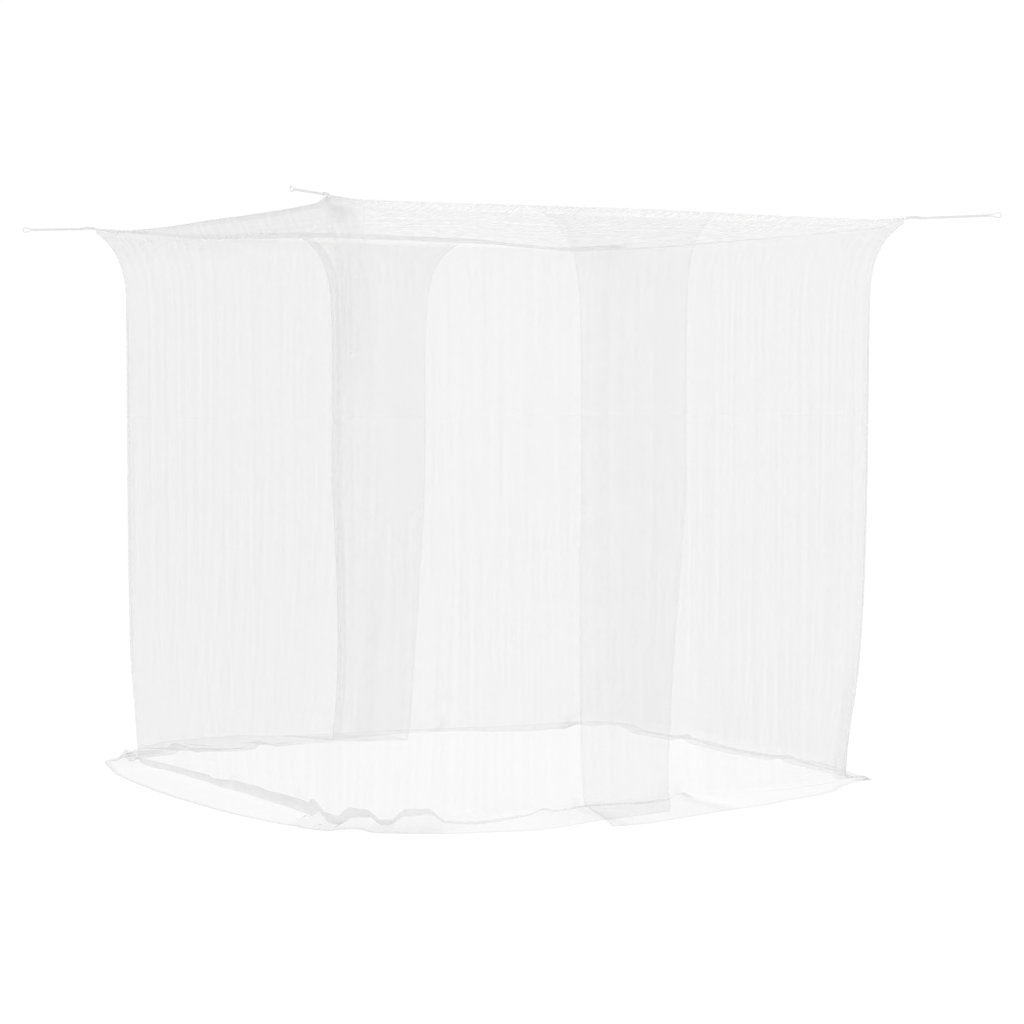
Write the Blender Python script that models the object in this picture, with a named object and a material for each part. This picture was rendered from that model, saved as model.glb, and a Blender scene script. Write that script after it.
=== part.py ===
"""Four-cornered mosquito net canopy with two curtain openings, hung by its corner ties.

Two wall curtains hang from the bound edge of a flat net roof. Each one runs round two corners of
the canopy, and their free edges overlap in the middle of the front and of the back wall. Below
the walls the spare length of net lies on the floor.

Metres, +Z up. The origin is the middle of the roof at the height of the four ties, which hold the
canopy up. Heights in this file are counted from the floor, and the empty "floor" carries them
down to it. Places along the walls are counted in walls, anticlockwise seen from above: 0 is the
front left corner, 1 the front right, 2 the back right, 3 the back left and 4 the front left again.
"""

import math
from bisect import bisect_right
from collections import namedtuple

import bmesh
import bpy
from mathutils import Matrix, Vector

# Main sizes
ROOF_X, ROOF_Y = 2.20, 1.90
HANG_HEIGHT = 1.927  # from the floor to the ties
WALL_X, WALL_Y = 2.03, 1.73  # between the walls, below the flare
NET = 0.0015  # thickness of the net sheets
GAP = 0.0003  # between pieces that are sewn or tied together
ROOF_GAP = 0.0005  # between the roof panel's middle surface, where it slopes, and the binding

# Roof edge
BINDING_WIDE, BINDING_TALL = 0.0054, 0.009
ROOF_SAG = 0.020  # how far the middle of the roof hangs below its edge
EDGE_BOW = 0.030  # how far each edge bows inwards halfway between two corners
ROOF_CORNER, WALL_CORNER = 0.020, 0.030  # rounding of the corners, seen from above
HEM_CORNER = 0.9  # how much rounder a corner gets on the floor, for each metre further out

# Wall section
SEAM_ALLOWANCE = 0.011  # the part of a wall that the binding holds upright
FLARE_DROP = 0.080  # how fast the flare under the roof dies out
LEAN_DROP = 0.33  # how fast the lean above the floor dies out
EDGE_LEAN_TOP = 1.00  # below this height the free edges slant
FOOT_RADIUS = 0.025  # of the bend from the wall on to the floor
ROLL_WIDE = 0.045  # of the rolled fold that lies along the foot of a wall
SEAM_LAYER, LAYER = 0.0035, 0.0045  # between two overlapping layers, at the roof and below
LAYER_TAPER = 0.12  # in walls: how far past an overlap the outer layer settles back
SETTLE = 0.08  # how far past the inner hem the outer one comes down to the floor

# Ties
CORD = 0.004
STRAND_GAP = 0.0005
EYE_RADIUS = 0.008  # of the cord's middle, at the end of a tie
EYE_LENGTH = 0.045
TAB_LENGTH, TAB_TALL, TAB_WIDE, TAB_ARCH = 0.055, 0.011, 0.0055, 0.003

# How far the roof's edge hangs below the ties, all the way round
Edge = namedtuple("Edge", "at drop")
ROOF_EDGE = [
    Edge(0.00, 0.000), Edge(0.05, 0.009), Edge(0.50, 0.002), Edge(0.93, 0.009),
    Edge(1.00, 0.000), Edge(1.08, 0.025), Edge(1.50, 0.031), Edge(1.92, 0.026),
    Edge(2.00, 0.006), Edge(2.12, 0.020), Edge(2.32, -0.002), Edge(2.60, -0.006),
    Edge(2.85, 0.016), Edge(3.00, 0.004), Edge(3.08, 0.022), Edge(3.30, 0.028),
    Edge(3.52, 0.024), Edge(3.75, 0.024), Edge(3.95, 0.019), Edge(4.00, 0.000),
]

# Foot of the walls, where they meet the floor, anticlockwise, with the height of the rolled fold
Foot = namedtuple("Foot", "x y roll")
RIGHT_FEET = [
    Foot(-0.270, -0.935, 0.002), Foot(-0.178, -0.935, 0.002), Foot(0.025, -0.960, 0.002),
    Foot(0.250, -0.925, 0.002), Foot(0.600, -0.895, 0.004), Foot(0.820, -0.850, 0.006),
    Foot(0.950, -0.800, 0.006), Foot(0.968, -0.600, 0.010), Foot(0.990, -0.350, 0.014),
    Foot(0.966, -0.050, 0.016), Foot(1.000, 0.250, 0.016), Foot(0.990, 0.600, 0.010),
    Foot(1.085, 0.935, 0.006), Foot(0.922, 0.885, 0.004), Foot(0.759, 0.892, 0.003),
    Foot(0.573, 0.930, 0.002), Foot(0.456, 1.000, 0.002), Foot(0.261, 1.040, 0.002),
    Foot(-0.050, 1.000, 0.002), Foot(-0.200, 0.990, 0.002),
]
LEFT_FEET = [
    Foot(0.200, 0.880, 0.002), Foot(0.138, 0.885, 0.002), Foot(0.031, 0.925, 0.002),
    Foot(-0.124, 0.980, 0.002), Foot(-0.271, 0.970, 0.004), Foot(-0.437, 0.934, 0.008),
    Foot(-0.555, 0.900, 0.008), Foot(-0.689, 0.944, 0.014), Foot(-0.819, 0.920, 0.018),
    Foot(-0.920, 0.900, 0.022), Foot(-0.996, 0.846, 0.026), Foot(-0.972, 0.620, 0.028),
    Foot(-0.965, 0.300, 0.030), Foot(-0.970, 0.000, 0.033), Foot(-0.975, -0.370, 0.038),
    Foot(-0.990, -0.600, 0.042), Foot(-1.020, -0.870, 0.032), Foot(-0.900, -0.930, 0.020),
    Foot(-0.753, -0.965, 0.012), Foot(-0.639, -1.055, 0.008), Foot(-0.500, -1.010, 0.004),
    Foot(-0.343, -0.957, 0.002), Foot(-0.254, -0.934, 0.002), Foot(-0.141, -0.898, 0.002),
    Foot(0.025, -0.943, 0.002), Foot(0.160, -0.890, 0.002),
]

# Rim of the hem on the floor, anticlockwise
Rim = namedtuple("Rim", "x y")
RIGHT_RIM = [
    Rim(-0.340, -1.320), Rim(-0.220, -1.330), Rim(-0.089, -1.300), Rim(0.139, -1.237),
    Rim(0.393, -1.190), Rim(0.599, -1.120), Rim(0.754, -1.050), Rim(0.870, -0.950),
    Rim(1.026, -0.876), Rim(1.055, -0.760), Rim(1.125, -0.400), Rim(1.090, 0.050),
    Rim(1.135, 0.330), Rim(1.110, 0.700), Rim(1.190, 0.980), Rim(1.080, 1.090),
    Rim(0.850, 1.100), Rim(0.560, 1.110), Rim(0.200, 1.220), Rim(-0.240, 1.230),
]
LEFT_RIM = [
    Rim(0.150, 1.120), Rim(-0.080, 1.180), Rim(-0.250, 1.270), Rim(-0.400, 1.360),
    Rim(-0.700, 1.330), Rim(-0.790, 1.275), Rim(-0.883, 1.186), Rim(-0.960, 1.080),
    Rim(-1.100, 0.949), Rim(-1.134, 0.786), Rim(-1.190, 0.550), Rim(-1.220, 0.250), Rim(-1.235, -0.070),
    Rim(-1.225, -0.455), Rim(-1.185, -0.760), Rim(-1.155, -0.970), Rim(-1.094, -1.040),
    Rim(-0.986, -1.124), Rim(-0.847, -1.204), Rim(-0.732, -1.235), Rim(-0.600, -1.270),
    Rim(-0.500, -1.258), Rim(-0.329, -1.207), Rim(-0.060, -1.160), Rim(0.010, -1.140),
]

# Folds that stand up from the floor and run up the wall: rise is the ridge's height on the floor
# and run how far out it lies, depth is how far the wall stands out and reach how far up it does
Fold = namedtuple("Fold", "what at wide rise run depth reach")
FOLDS = [
    Fold("first hump of the front left corner", 0.035, 0.150, 0.034, 0.15, 0.012, 0.10),
    Fold("round lump at the front left", 0.130, 0.180, 0.042, 0.13, 0.016, 0.08),
    Fold("crease on the front wall's foot", 0.330, 0.100, 0.014, 0.12, 0.008, 0.20),
    Fold("front left drape", 0.115, 0.130, 0.000, 0.10, 0.010, 1.20),
    Fold("turned corner of the left curtain", 0.572, 0.120, 0.020, 0.10, 0.010, 0.10),
    Fold("front right drape", 0.800, 0.160, 0.000, 0.10, 0.008, 0.90),
    Fold("pleat at the front right corner", 0.985, 0.070, 0.012, 0.06, 0.026, 0.17),
    Fold("first scallop on the right", 1.300, 0.150, 0.014, 0.08, 0.006, 0.30),
    Fold("second scallop on the right", 1.680, 0.150, 0.016, 0.08, 0.006, 0.30),
    Fold("back right fold", 2.060, 0.130, 0.014, 0.12, 0.010, 0.30),
    Fold("first ridge at the back", 2.700, 0.130, 0.018, 0.22, 0.008, 0.30),
    Fold("second ridge at the back", 2.850, 0.130, 0.020, 0.24, 0.010, 0.40),
    Fold("back left corner fold", 3.040, 0.110, 0.026, 0.10, 0.010, 0.25),
    Fold("left wall drape", 3.450, 0.180, 0.000, 0.10, 0.008, 1.00),
    Fold("second hump of the front left corner", 3.920, 0.140, 0.028, 0.16, 0.012, 0.10),
]

# The curtains: where their free edges and corners lie at the roof, the wall, the foot and the rim.
# The outer one lies outside the other in both overlaps.
Curtain = namedtuple("Curtain", "name seam wall foot rim feet rims outer")
Place = namedtuple("Place", "at out roll")
Overlap = namedtuple("Overlap", "start end")
OVERLAPS = [Overlap(0.30, 0.66), Overlap(2.30, 2.66)]  # in walls


def along_x(x, side, half):
    """The place of a point of the front wall (side 0 or 4) or of the back wall (side 2)."""
    return side + ((half - x) if side == 2 else (half + x)) / (2 * half)


def curtain_ends(side, seam_x, wall_x, foot_x):
    """A free edge's place at the roof, on the wall and at its foot."""
    halves = (ROOF_X / 2, WALL_X / 2, WALL_X / 2)
    return [along_x(x, side, half) for x, half in zip((seam_x, wall_x, foot_x), halves)]


def place_of(row, lap):
    """The place along the walls of a point on the floor, and how far outside their line it lies."""
    past_x, past_y = abs(row.x) - WALL_X / 2, abs(row.y) - WALL_Y / 2
    out = max(past_x, past_y)
    along = row.x / (WALL_X / 2 + out) if past_y > past_x else row.y / (WALL_Y / 2 + out)
    if past_y > past_x:
        at = 2.5 - along / 2 if row.y > 0 else 4 * lap + 0.5 + along / 2
    else:
        at = 1.5 + along / 2 if row.x > 0 else 3.5 - along / 2
    return Place(at, out, getattr(row, "roll", 0.0))


def curtain(name, corners, start, end, feet, rims, outer):
    """A front edge that comes after the other corners is counted as past 4."""
    lap = corners[-1] == 4
    feet, rims = [place_of(row, lap) for row in feet], [place_of(row, lap) for row in rims]
    knots = [[a, *corners, b] for a, b in zip(start, end)]
    return Curtain(name, *knots, [rims[0].at, *corners, rims[-1].at], feet, rims, outer)


RIGHT = curtain(
    "curtain_right", (1, 2),
    curtain_ends(0, seam_x=-0.357, wall_x=-0.159, foot_x=-0.178),
    curtain_ends(2, seam_x=-0.294, wall_x=-0.184, foot_x=-0.110),
    RIGHT_FEET, RIGHT_RIM, outer=True,
)
LEFT = curtain(
    "curtain_left", (3, 4),
    curtain_ends(2, seam_x=0.419, wall_x=0.214, foot_x=0.145),
    curtain_ends(4, seam_x=0.328, wall_x=0.255, foot_x=0.160),
    LEFT_FEET, LEFT_RIM, outer=False,
)

# Rows of a curtain, from the seam down: depths under the seam, heights of the wall,
# and shares of the foot's bend, of the rolled fold and of what lies flat
FLARE_ROWS = (0.0, 0.011, 0.032, 0.065, 0.115, 0.20, 0.34)
WALL_ROWS = (1.20, 0.80, 0.50, 0.30, 0.17, 0.08)
BEND_ROWS = (0.0, 0.5, 1.0)
ROLL_ROWS = (0.25, 0.5, 0.75, 1.0)
FLAT_ROWS = (0.33, 0.66, 1.0)
COLUMN_SPACING = 0.135
FULL_FOLD = 0.16  # folds narrower than this get columns of their own
LEAST_COLUMN = 0.006  # in walls: the least distance between two columns
CORNER_STEP = 0.5 * math.pi * WALL_CORNER / 4  # between the columns that round a corner

# The ties: the corner each one leaves, its direction, its length and how much its eye is higher
Tie = namedtuple("Tie", "name corner aim length rise")
TIES = [
    Tie("front_left", 0, Vector((-1, -1, 0)), 0.36, -0.005),
    Tie("front_right", 1, Vector((1, -1, 0)), 0.33, 0.006),
    Tie("back_right", 2, Vector((1, 1, 0)), 0.30, 0.016),
    Tie("back_left", 3, Vector((-1, 1, 0)), 0.29, 0.000),
]


def ease(x):
    """0 to 1 with level ends."""
    x = min(max(x, 0.0), 1.0)
    return x * x * (3 - 2 * x)


def mix(a, b, share):
    return a + (b - a) * share


def between(rows, at, column):
    """A column of a table at any place, on a smooth line that doesn't swing past its rows."""
    last = len(rows) - 1
    at = min(max(at, rows[0].at), rows[-1].at)

    def slope(i):
        a, b = rows[i], rows[i + 1]
        return (getattr(b, column) - getattr(a, column)) / (b.at - a.at)

    def tangent(i):
        if i in (0, last):
            return slope(min(i, last - 1))
        a, b = slope(i - 1), slope(i)
        return 2 * a * b / (a + b) if a * b > 0 else 0.0

    i = min(max(bisect_right([row.at for row in rows], at) - 1, 0), last - 1)
    size = rows[i + 1].at - rows[i].at
    t = (at - rows[i].at) / size
    a, b = getattr(rows[i], column), getattr(rows[i + 1], column)
    lean_a, lean_b = tangent(i) * size, tangent(i + 1) * size
    return mix(a, b, ease(t)) + t * (1 - t) * (lean_a * (1 - t) - lean_b * t)


def through(places, others, at):
    """Carries a place from one list of places to another, in straight stretches."""
    i = min(max(bisect_right(places, at) - 1, 0), len(places) - 2)
    share = (at - places[i]) / (places[i + 1] - places[i])
    return mix(others[i], others[i + 1], share)


def ring(at, half_x, half_y, radius):
    """A point of a rounded rectangle and the direction out of it, at a place along its walls.

    A whole number is the middle of a corner, and a wall is covered at an even pace.
    """
    side = int(math.floor(at)) % 4
    share = at - math.floor(at)
    length = 2 * (half_y if side % 2 else half_x)
    arc = math.pi * radius / 4
    run = share * (length - 2 * radius + 2 * arc)
    straight = length - 2 * radius
    if run < arc:
        turn = run / radius - math.pi / 4
        along, out = radius + radius * math.sin(turn), radius * (1 - math.cos(turn))
    elif run <= arc + straight:
        turn, along, out = 0.0, radius + run - arc, 0.0
    else:
        turn = (run - arc - straight) / radius
        along = length - radius + radius * math.sin(turn)
        out = radius * (1 - math.cos(turn))
    # the front wall first, facing -Y, then turned to the wall's own side
    depth = half_x if side % 2 else half_y
    facing = Matrix.Rotation(side * math.pi / 2, 3, "Z")
    point = facing @ Vector((along - length / 2, out - depth, 0))
    return point, facing @ Vector((math.sin(turn), -math.cos(turn), 0))


def corner_places(corner):
    """Places of the columns that round a corner."""
    steps = [CORNER_STEP * k for k in (-2, -1, 0, 1, 2)]
    sizes = (WALL_X, WALL_Y) if corner % 2 == 0 else (WALL_Y, WALL_X)
    # the wall before an even corner runs along Y, and the one after it along X
    return [corner + s / (sizes[1] if s < 0 else sizes[0]) for s in steps]


def rim_stops():
    """Places round the roof's edge where its pieces have their corners, so that they all fit."""
    stops = []
    for side in range(4):
        length = ROOF_Y if side % 2 else ROOF_X
        first, last = corner_places(side)[2:], corner_places(side + 1)[:2]
        cells = round(length / COLUMN_SPACING)
        a, b = first[-1], last[0]
        stops += first + [mix(a, b, k / cells) for k in range(1, cells)] + last
    return stops + [4.0]


STOPS = rim_stops()


def edge_bow(at):
    share = at - math.floor(at)
    return EDGE_BOW * 4 * share * (1 - share)


def edge_at_stop(at):
    """The middle of the binding at one of the stops, and the direction out of the roof."""
    point, out = ring(at, ROOF_X / 2, ROOF_Y / 2, ROOF_CORNER)
    point -= out * edge_bow(at)
    point.z = HANG_HEIGHT - between(ROOF_EDGE, at % 4, "drop")
    return point, out


EDGE_STOPS = [edge_at_stop(at) for at in STOPS]


def roof_edge(at):
    """The middle of the binding anywhere, in straight stretches from stop to stop."""
    at %= 4
    i = min(bisect_right(STOPS, at) - 1, len(STOPS) - 2)
    share = (at - STOPS[i]) / (STOPS[i + 1] - STOPS[i])
    (p, n), (q, m) = EDGE_STOPS[i], EDGE_STOPS[i + 1]
    return p.lerp(q, share), n.lerp(m, share).normalized()


def bump(fold, at):
    """How strongly a fold shows at a place: 1 in its middle, 0 past its width."""
    length = WALL_Y if int(fold.at) % 2 else WALL_X
    away = (at % 4 - fold.at + 2) % 4 - 2
    return ease(1 - abs(away) * length / (fold.wide / 2))


def wall_out(c, at, height):
    """How far outside its line a wall hangs, from its lean at the foot and its folds."""
    up = max(height - FOOT_RADIUS, 0)
    out = between(c.feet, at, "out") * math.exp(-up / LEAN_DROP)
    top = 1 - math.exp(-(HANG_HEIGHT - height) / FLARE_DROP)
    return out + top * sum(f.depth * bump(f, at) * math.exp(-up / f.reach) for f in FOLDS)


def ridge(at, out):
    """Height of the folds that lie on the floor, a distance out from the foot."""
    return sum(f.rise * bump(f, at) * (1 - ease(out / f.run)) for f in FOLDS)


def lapped(at):
    """1 where the curtains overlap, falling to 0 past the ends of the overlap."""
    past = [max(o.start - at % 4, at % 4 - o.end, 0) for o in OVERLAPS]
    return 1 - ease(min(past) / LAYER_TAPER)


def flare_row(c, column, depth):
    """Place along the walls, distance out, height and layer of a row under the seam."""
    height = roof_edge(column)[0].z - BINDING_TALL / 2 - GAP - depth
    kept = math.exp(-max(depth - SEAM_ALLOWANCE, 0) / FLARE_DROP)
    at = mix(through(c.seam, c.wall, column), column, kept)
    out_at_seam = (ROOF_X - WALL_X) / 2 - edge_bow(column)
    out = mix(wall_out(c, at, height), out_at_seam, kept)
    seam_layer = SEAM_LAYER / 2 if c.outer else -SEAM_LAYER / 2
    layer = mix(LAYER if c.outer else 0, seam_layer, kept) * lapped(at)
    return at, out, height, layer, kept


def wall_row(c, column, height):
    slant = min(height / EDGE_LEAN_TOP, 1)
    at = mix(through(c.seam, c.foot, column), through(c.seam, c.wall, column), slant)
    return at, wall_out(c, at, height), height, LAYER * lapped(at) if c.outer else 0, 0.0


def floor_row(c, column, part, share):
    """A row of the bend on to the floor, of the rolled fold or of the flat hem."""
    foot_at, rim_at = through(c.seam, c.foot, column), through(c.seam, c.rim, column)
    foot, rim = wall_out(c, foot_at, FOOT_RADIUS), between(c.rims, rim_at, "out")
    start, height = foot + FOOT_RADIUS, 0.0
    if part == "bend":
        turn = share * math.pi / 2
        out = foot + FOOT_RADIUS * (1 - math.cos(turn))
        height = FOOT_RADIUS * (1 - math.sin(turn))
    elif part == "roll":
        out = start + ROLL_WIDE * share
        height = between(c.feet, foot_at, "roll") * math.sin(math.pi * share) ** 2
    else:
        out = mix(start + ROLL_WIDE, rim, share)
    at = mix(foot_at, rim_at, (out - foot) / (rim - foot))
    height += ridge(at, max(out - start, 0)) * (share if part == "bend" else 1)
    layer = 0.0
    if c.outer and lapped(at) > 0:
        inner = between(LEFT.rims, at + 4 if at < 1 else at, "out")
        layer = LAYER * lapped(at) * (1 - ease((out - inner) / SETTLE))
    return at, out, NET / 2 + height, layer, 0.0


def section(c, column):
    """All rows of one column of a curtain, as points."""
    rows = [flare_row(c, column, depth) for depth in FLARE_ROWS]
    rows += [wall_row(c, column, height) for height in WALL_ROWS]
    parts = (("bend", BEND_ROWS), ("roll", ROLL_ROWS), ("flat", FLAT_ROWS))
    rows += [floor_row(c, column, part, share) for part, shares in parts for share in shares]
    points = []
    for i, (at, out, height, layer, kept) in enumerate(rows):
        before, after = rows[max(i - 1, 0)], rows[min(i + 1, len(rows) - 1)]
        # the outer side of the section: out of the wall, and up on the floor
        run, fall = after[1] - before[1], before[2] - after[2]
        size = math.hypot(run, fall)
        out += layer * fall / size
        height += layer * run / size
        radius = mix(WALL_CORNER, ROOF_CORNER, kept)
        if height < FOOT_RADIUS:
            radius += HEM_CORNER * max(out, 0)
        point = ring(at, WALL_X / 2 + out, WALL_Y / 2 + out, radius)[0]
        points.append(Vector((point.x, point.y, height)))
    edge, normal = roof_edge(column)
    top = edge + normal * rows[0][3]
    points[0] = Vector((top.x, top.y, rows[0][2]))
    return points


def curtain_columns(c):
    """Places of a curtain's columns along the roof's edge: the edge's stops, and more at folds."""
    lap = 4 if c.seam[-1] > 4 else 0
    places = {stop + turn for stop in STOPS[:-1] for turn in (0, lap)}
    for fold in FOLDS:
        for at in {fold.at, fold.at + lap}:
            if c.foot[0] < at < c.foot[-1] and fold.wide < FULL_FOLD:
                seat = through(c.foot, c.seam, at)
                more = [seat + fold.wide * k / 4 / WALL_X for k in (-2, -1, 0, 1, 2)]
                places |= {p for p in more if min(abs(p - q) for q in places) > LEAST_COLUMN}
    inside = [p for p in places if c.seam[0] + LEAST_COLUMN < p < c.seam[-1] - LEAST_COLUMN]
    return [c.seam[0], *sorted(inside), c.seam[-1]]


def paint(obj, name, colour, roughness):
    """Gives an object its own plain material."""
    material = bpy.data.materials.new(name)
    material.use_nodes = True
    shader = material.node_tree.nodes["Principled BSDF"]
    shader.inputs["Base Color"].default_value = (*colour, 1)
    shader.inputs["Roughness"].default_value = roughness
    shader.inputs["Metallic"].default_value = 0
    obj.data.materials.append(material)


def add_mesh(name, build, parent):
    """A new object whose mesh is made by build(bm)."""
    mesh = bpy.data.meshes.new(name)
    bm = bmesh.new()
    build(bm)
    bmesh.ops.recalc_face_normals(bm, faces=bm.faces)
    bm.to_mesh(mesh)
    bm.free()
    obj = bpy.data.objects.new(name, mesh)
    bpy.context.scene.collection.objects.link(obj)
    obj.parent = parent
    return obj


def grid_faces(bm, columns):
    """Faces between columns of points that have the same number of rows."""
    made = [[bm.verts.new(p) for p in column] for column in columns]
    for left, right in zip(made, made[1:]):
        for j in range(len(left) - 1):
            bm.faces.new((left[j], left[j + 1], right[j + 1], right[j]))


def thicken(obj, thickness):
    """Turns a sheet of faces into cloth of an even thickness about its middle."""
    solidify = obj.modifiers.new("thickness", "SOLIDIFY")
    solidify.thickness = thickness
    solidify.offset = 0
    solidify.use_even_offset = False
    obj.data.shade_smooth()


def make_curtain(c, parent):
    columns = [section(c, place) for place in curtain_columns(c)]
    obj = add_mesh(c.name, lambda bm: grid_faces(bm, columns), parent)
    thicken(obj, NET)
    paint(obj, c.name, (0.93, 0.93, 0.93), 0.9)
    return obj


def roof_point(across, back):
    """A point of the roof panel, blended from its four edges and sagging in the middle."""
    inset = BINDING_WIDE / 2 + ROOF_GAP

    def edge(at):
        point, normal = roof_edge(at)
        return point - normal * inset

    front, rear = edge(across), edge(3 - across)
    left, right = edge((4 - back) % 4), edge(1 + back)
    corners = [edge(k) for k in range(4)]
    blend = front * (1 - back) + rear * back + left * (1 - across) + right * across
    blend -= (corners[0] * (1 - across) + corners[1] * across) * (1 - back)
    blend -= (corners[3] * (1 - across) + corners[2] * across) * back
    sag = ROOF_SAG * 16 * across * (1 - across) * back * (1 - back)
    return blend - Vector((0, 0, sag))


def roof_shares(side):
    """Shares along one side of the roof where the stops of its edge lie."""
    return [s - side for s in STOPS if side <= s <= side + 1]


def make_roof(parent):
    columns = [[roof_point(a, b) for b in roof_shares(1)] for a in roof_shares(0)]
    obj = add_mesh("roof_panel", lambda bm: grid_faces(bm, columns), parent)
    thicken(obj, NET)
    paint(obj, "roof_panel", (0.93, 0.93, 0.93), 0.9)
    return obj


def make_binding(parent):
    """The tape sewn round the roof's edge, as one closed ring."""

    def build(bm):
        loops = []
        for point, out in EDGE_STOPS[:-1]:
            side, up = out * BINDING_WIDE / 2, Vector((0, 0, BINDING_TALL / 2))
            corners = (point + side + up, point - side + up, point - side - up, point + side - up)
            loops.append([bm.verts.new(p) for p in corners])
        for here, there in zip(loops, loops[1:] + loops[:1]):
            for k in range(4):
                m = (k + 1) % 4
                bm.faces.new((here[k], here[m], there[m], there[k]))

    obj = add_mesh("edge_binding", build, parent)
    paint(obj, "edge_binding", (0.88, 0.88, 0.88), 0.85)
    return obj


def tab_seat(tie):
    """Where a tab starts outside the binding, and its directions out and sideways."""
    point, _ = roof_edge(tie.corner)
    aim = tie.aim.normalized()
    return point + aim * (BINDING_WIDE / 2 + GAP), aim, Vector((-aim.y, aim.x, 0))


def make_tab(tie, parent):
    """The short folded tape at a corner that holds the ends of the tie, arched a little."""
    seat, aim, across = tab_seat(tie)
    sections = ((0.0, 0.92), (0.25, 1.0), (0.5, 1.0), (0.75, 0.98), (1.0, 0.94))

    def build(bm):
        rings = []
        for share, scale in sections:
            rise = TAB_ARCH * math.sin(math.pi * share)
            middle = seat + aim * TAB_LENGTH * share + Vector((0, 0, rise))
            half_up, half_across = TAB_TALL / 2 * scale, TAB_WIDE / 2 * scale
            outline = ((1, 0.6), (0.6, 1), (-0.6, 1), (-1, 0.6), (-1, -0.6), (-0.6, -1), (0.6, -1),
                       (1, -0.6))
            rings.append([
                bm.verts.new(middle + across * half_across * a + Vector((0, 0, half_up * b)))
                for a, b in outline
            ])
        for here, there in zip(rings, rings[1:]):
            for k in range(len(here)):
                m = (k + 1) % len(here)
                bm.faces.new((here[k], here[m], there[m], there[k]))
        bm.faces.new(rings[0])
        bm.faces.new(rings[-1])

    obj = add_mesh("tab_" + tie.name, build, parent)
    paint(obj, "tab_" + tie.name, (0.86, 0.86, 0.86), 0.85)
    return obj


def tie_route(tie):
    """Points of a tie's cord: out along its lower strand, round the eye and back above it."""
    seat, aim, _ = tab_seat(tie)
    strand = (CORD + STRAND_GAP) / 2
    start = TAB_LENGTH + GAP
    straight = tie.length - TAB_LENGTH - EYE_LENGTH
    steps = max(2, round(straight / (3 * CORD)))
    lower = [(start + straight * k / steps, -strand) for k in range(steps)]
    neck = EYE_LENGTH - 2 * EYE_RADIUS
    for k in range(4):
        share = k / 4
        lower.append((start + straight + neck * share, -mix(strand, EYE_RADIUS, ease(share))))
    middle = start + straight + neck
    turns = [math.radians(a) for a in (-90, -60, -30)]
    lower += [(middle + EYE_RADIUS * math.cos(a), EYE_RADIUS * math.sin(a)) for a in turns]
    tip = [(middle + EYE_RADIUS, 0.0)]
    upper = [(along, -up) for along, up in reversed(lower)]
    lean = tie.rise / (tie.length - TAB_LENGTH)
    route = [(along, up + lean * (along - start)) for along, up in lower + tip + upper]
    return [seat + aim * along + Vector((0, 0, up)) for along, up in route]


def make_tie(tie, parent):
    name = "tie_" + tie.name
    curve = bpy.data.curves.new(name, "CURVE")
    curve.dimensions = "3D"
    curve.bevel_depth = CORD / 2
    curve.bevel_resolution = 2
    curve.use_fill_caps = True
    route = tie_route(tie)
    spline = curve.splines.new("POLY")
    spline.points.add(len(route) - 1)
    for point, place in zip(spline.points, route):
        point.co = (*place, 1)
    obj = bpy.data.objects.new(name, curve)
    bpy.context.scene.collection.objects.link(obj)
    obj.parent = parent
    paint(obj, name, (0.85, 0.85, 0.85), 0.8)
    return obj


def main():
    for old in list(bpy.data.objects):
        bpy.data.objects.remove(old, do_unlink=True)
    floor = bpy.data.objects.new("floor", None)
    bpy.context.scene.collection.objects.link(floor)
    floor.location.z = -HANG_HEIGHT
    make_roof(floor)
    make_binding(floor)
    for c in (LEFT, RIGHT):
        make_curtain(c, floor)
    for tie in TIES:
        make_tab(tie, floor)
        make_tie(tie, floor)


main()
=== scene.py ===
# %% [markdown]
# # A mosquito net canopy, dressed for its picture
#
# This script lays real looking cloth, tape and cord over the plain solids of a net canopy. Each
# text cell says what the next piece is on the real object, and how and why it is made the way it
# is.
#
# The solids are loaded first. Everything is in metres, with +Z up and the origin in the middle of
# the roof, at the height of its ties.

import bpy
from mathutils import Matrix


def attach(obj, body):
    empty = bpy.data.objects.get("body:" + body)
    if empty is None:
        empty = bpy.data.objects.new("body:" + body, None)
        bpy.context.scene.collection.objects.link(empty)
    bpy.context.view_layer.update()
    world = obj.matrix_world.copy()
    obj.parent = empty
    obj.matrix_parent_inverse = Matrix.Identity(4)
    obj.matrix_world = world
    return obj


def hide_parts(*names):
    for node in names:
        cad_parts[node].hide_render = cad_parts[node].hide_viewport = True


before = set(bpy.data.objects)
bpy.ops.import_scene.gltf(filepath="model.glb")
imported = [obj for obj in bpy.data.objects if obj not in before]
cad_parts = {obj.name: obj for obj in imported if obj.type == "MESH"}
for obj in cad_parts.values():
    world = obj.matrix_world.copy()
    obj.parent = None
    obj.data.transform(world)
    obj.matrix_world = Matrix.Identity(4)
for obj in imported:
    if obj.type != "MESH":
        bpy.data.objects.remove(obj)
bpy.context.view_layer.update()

import math
from bisect import bisect_right
from collections import namedtuple

import bpy
from mathutils import Matrix, Vector, noise

bpy.ops.object.select_all(action="DESELECT")
scene = bpy.context.scene
print("solids:", ", ".join(sorted(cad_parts)))

# %% [markdown]
# ## The camera
#
# The canopy is seen from the front left, almost at eye height. The camera's place and lens come
# from lining up the four roof corners and the foot of the walls. A long lens keeps the upright
# edges nearly parallel.

# %% Camera
HANG_HEIGHT = 1.927  # from the floor to the ties
EYE_HEIGHT = 1.323
STAND_X, STAND_Y = -4.878, -8.566
TURN, TILT = math.radians(30.12), math.radians(2.38)
LENS, SENSOR = 98.44, 36  # in millimetres

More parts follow.
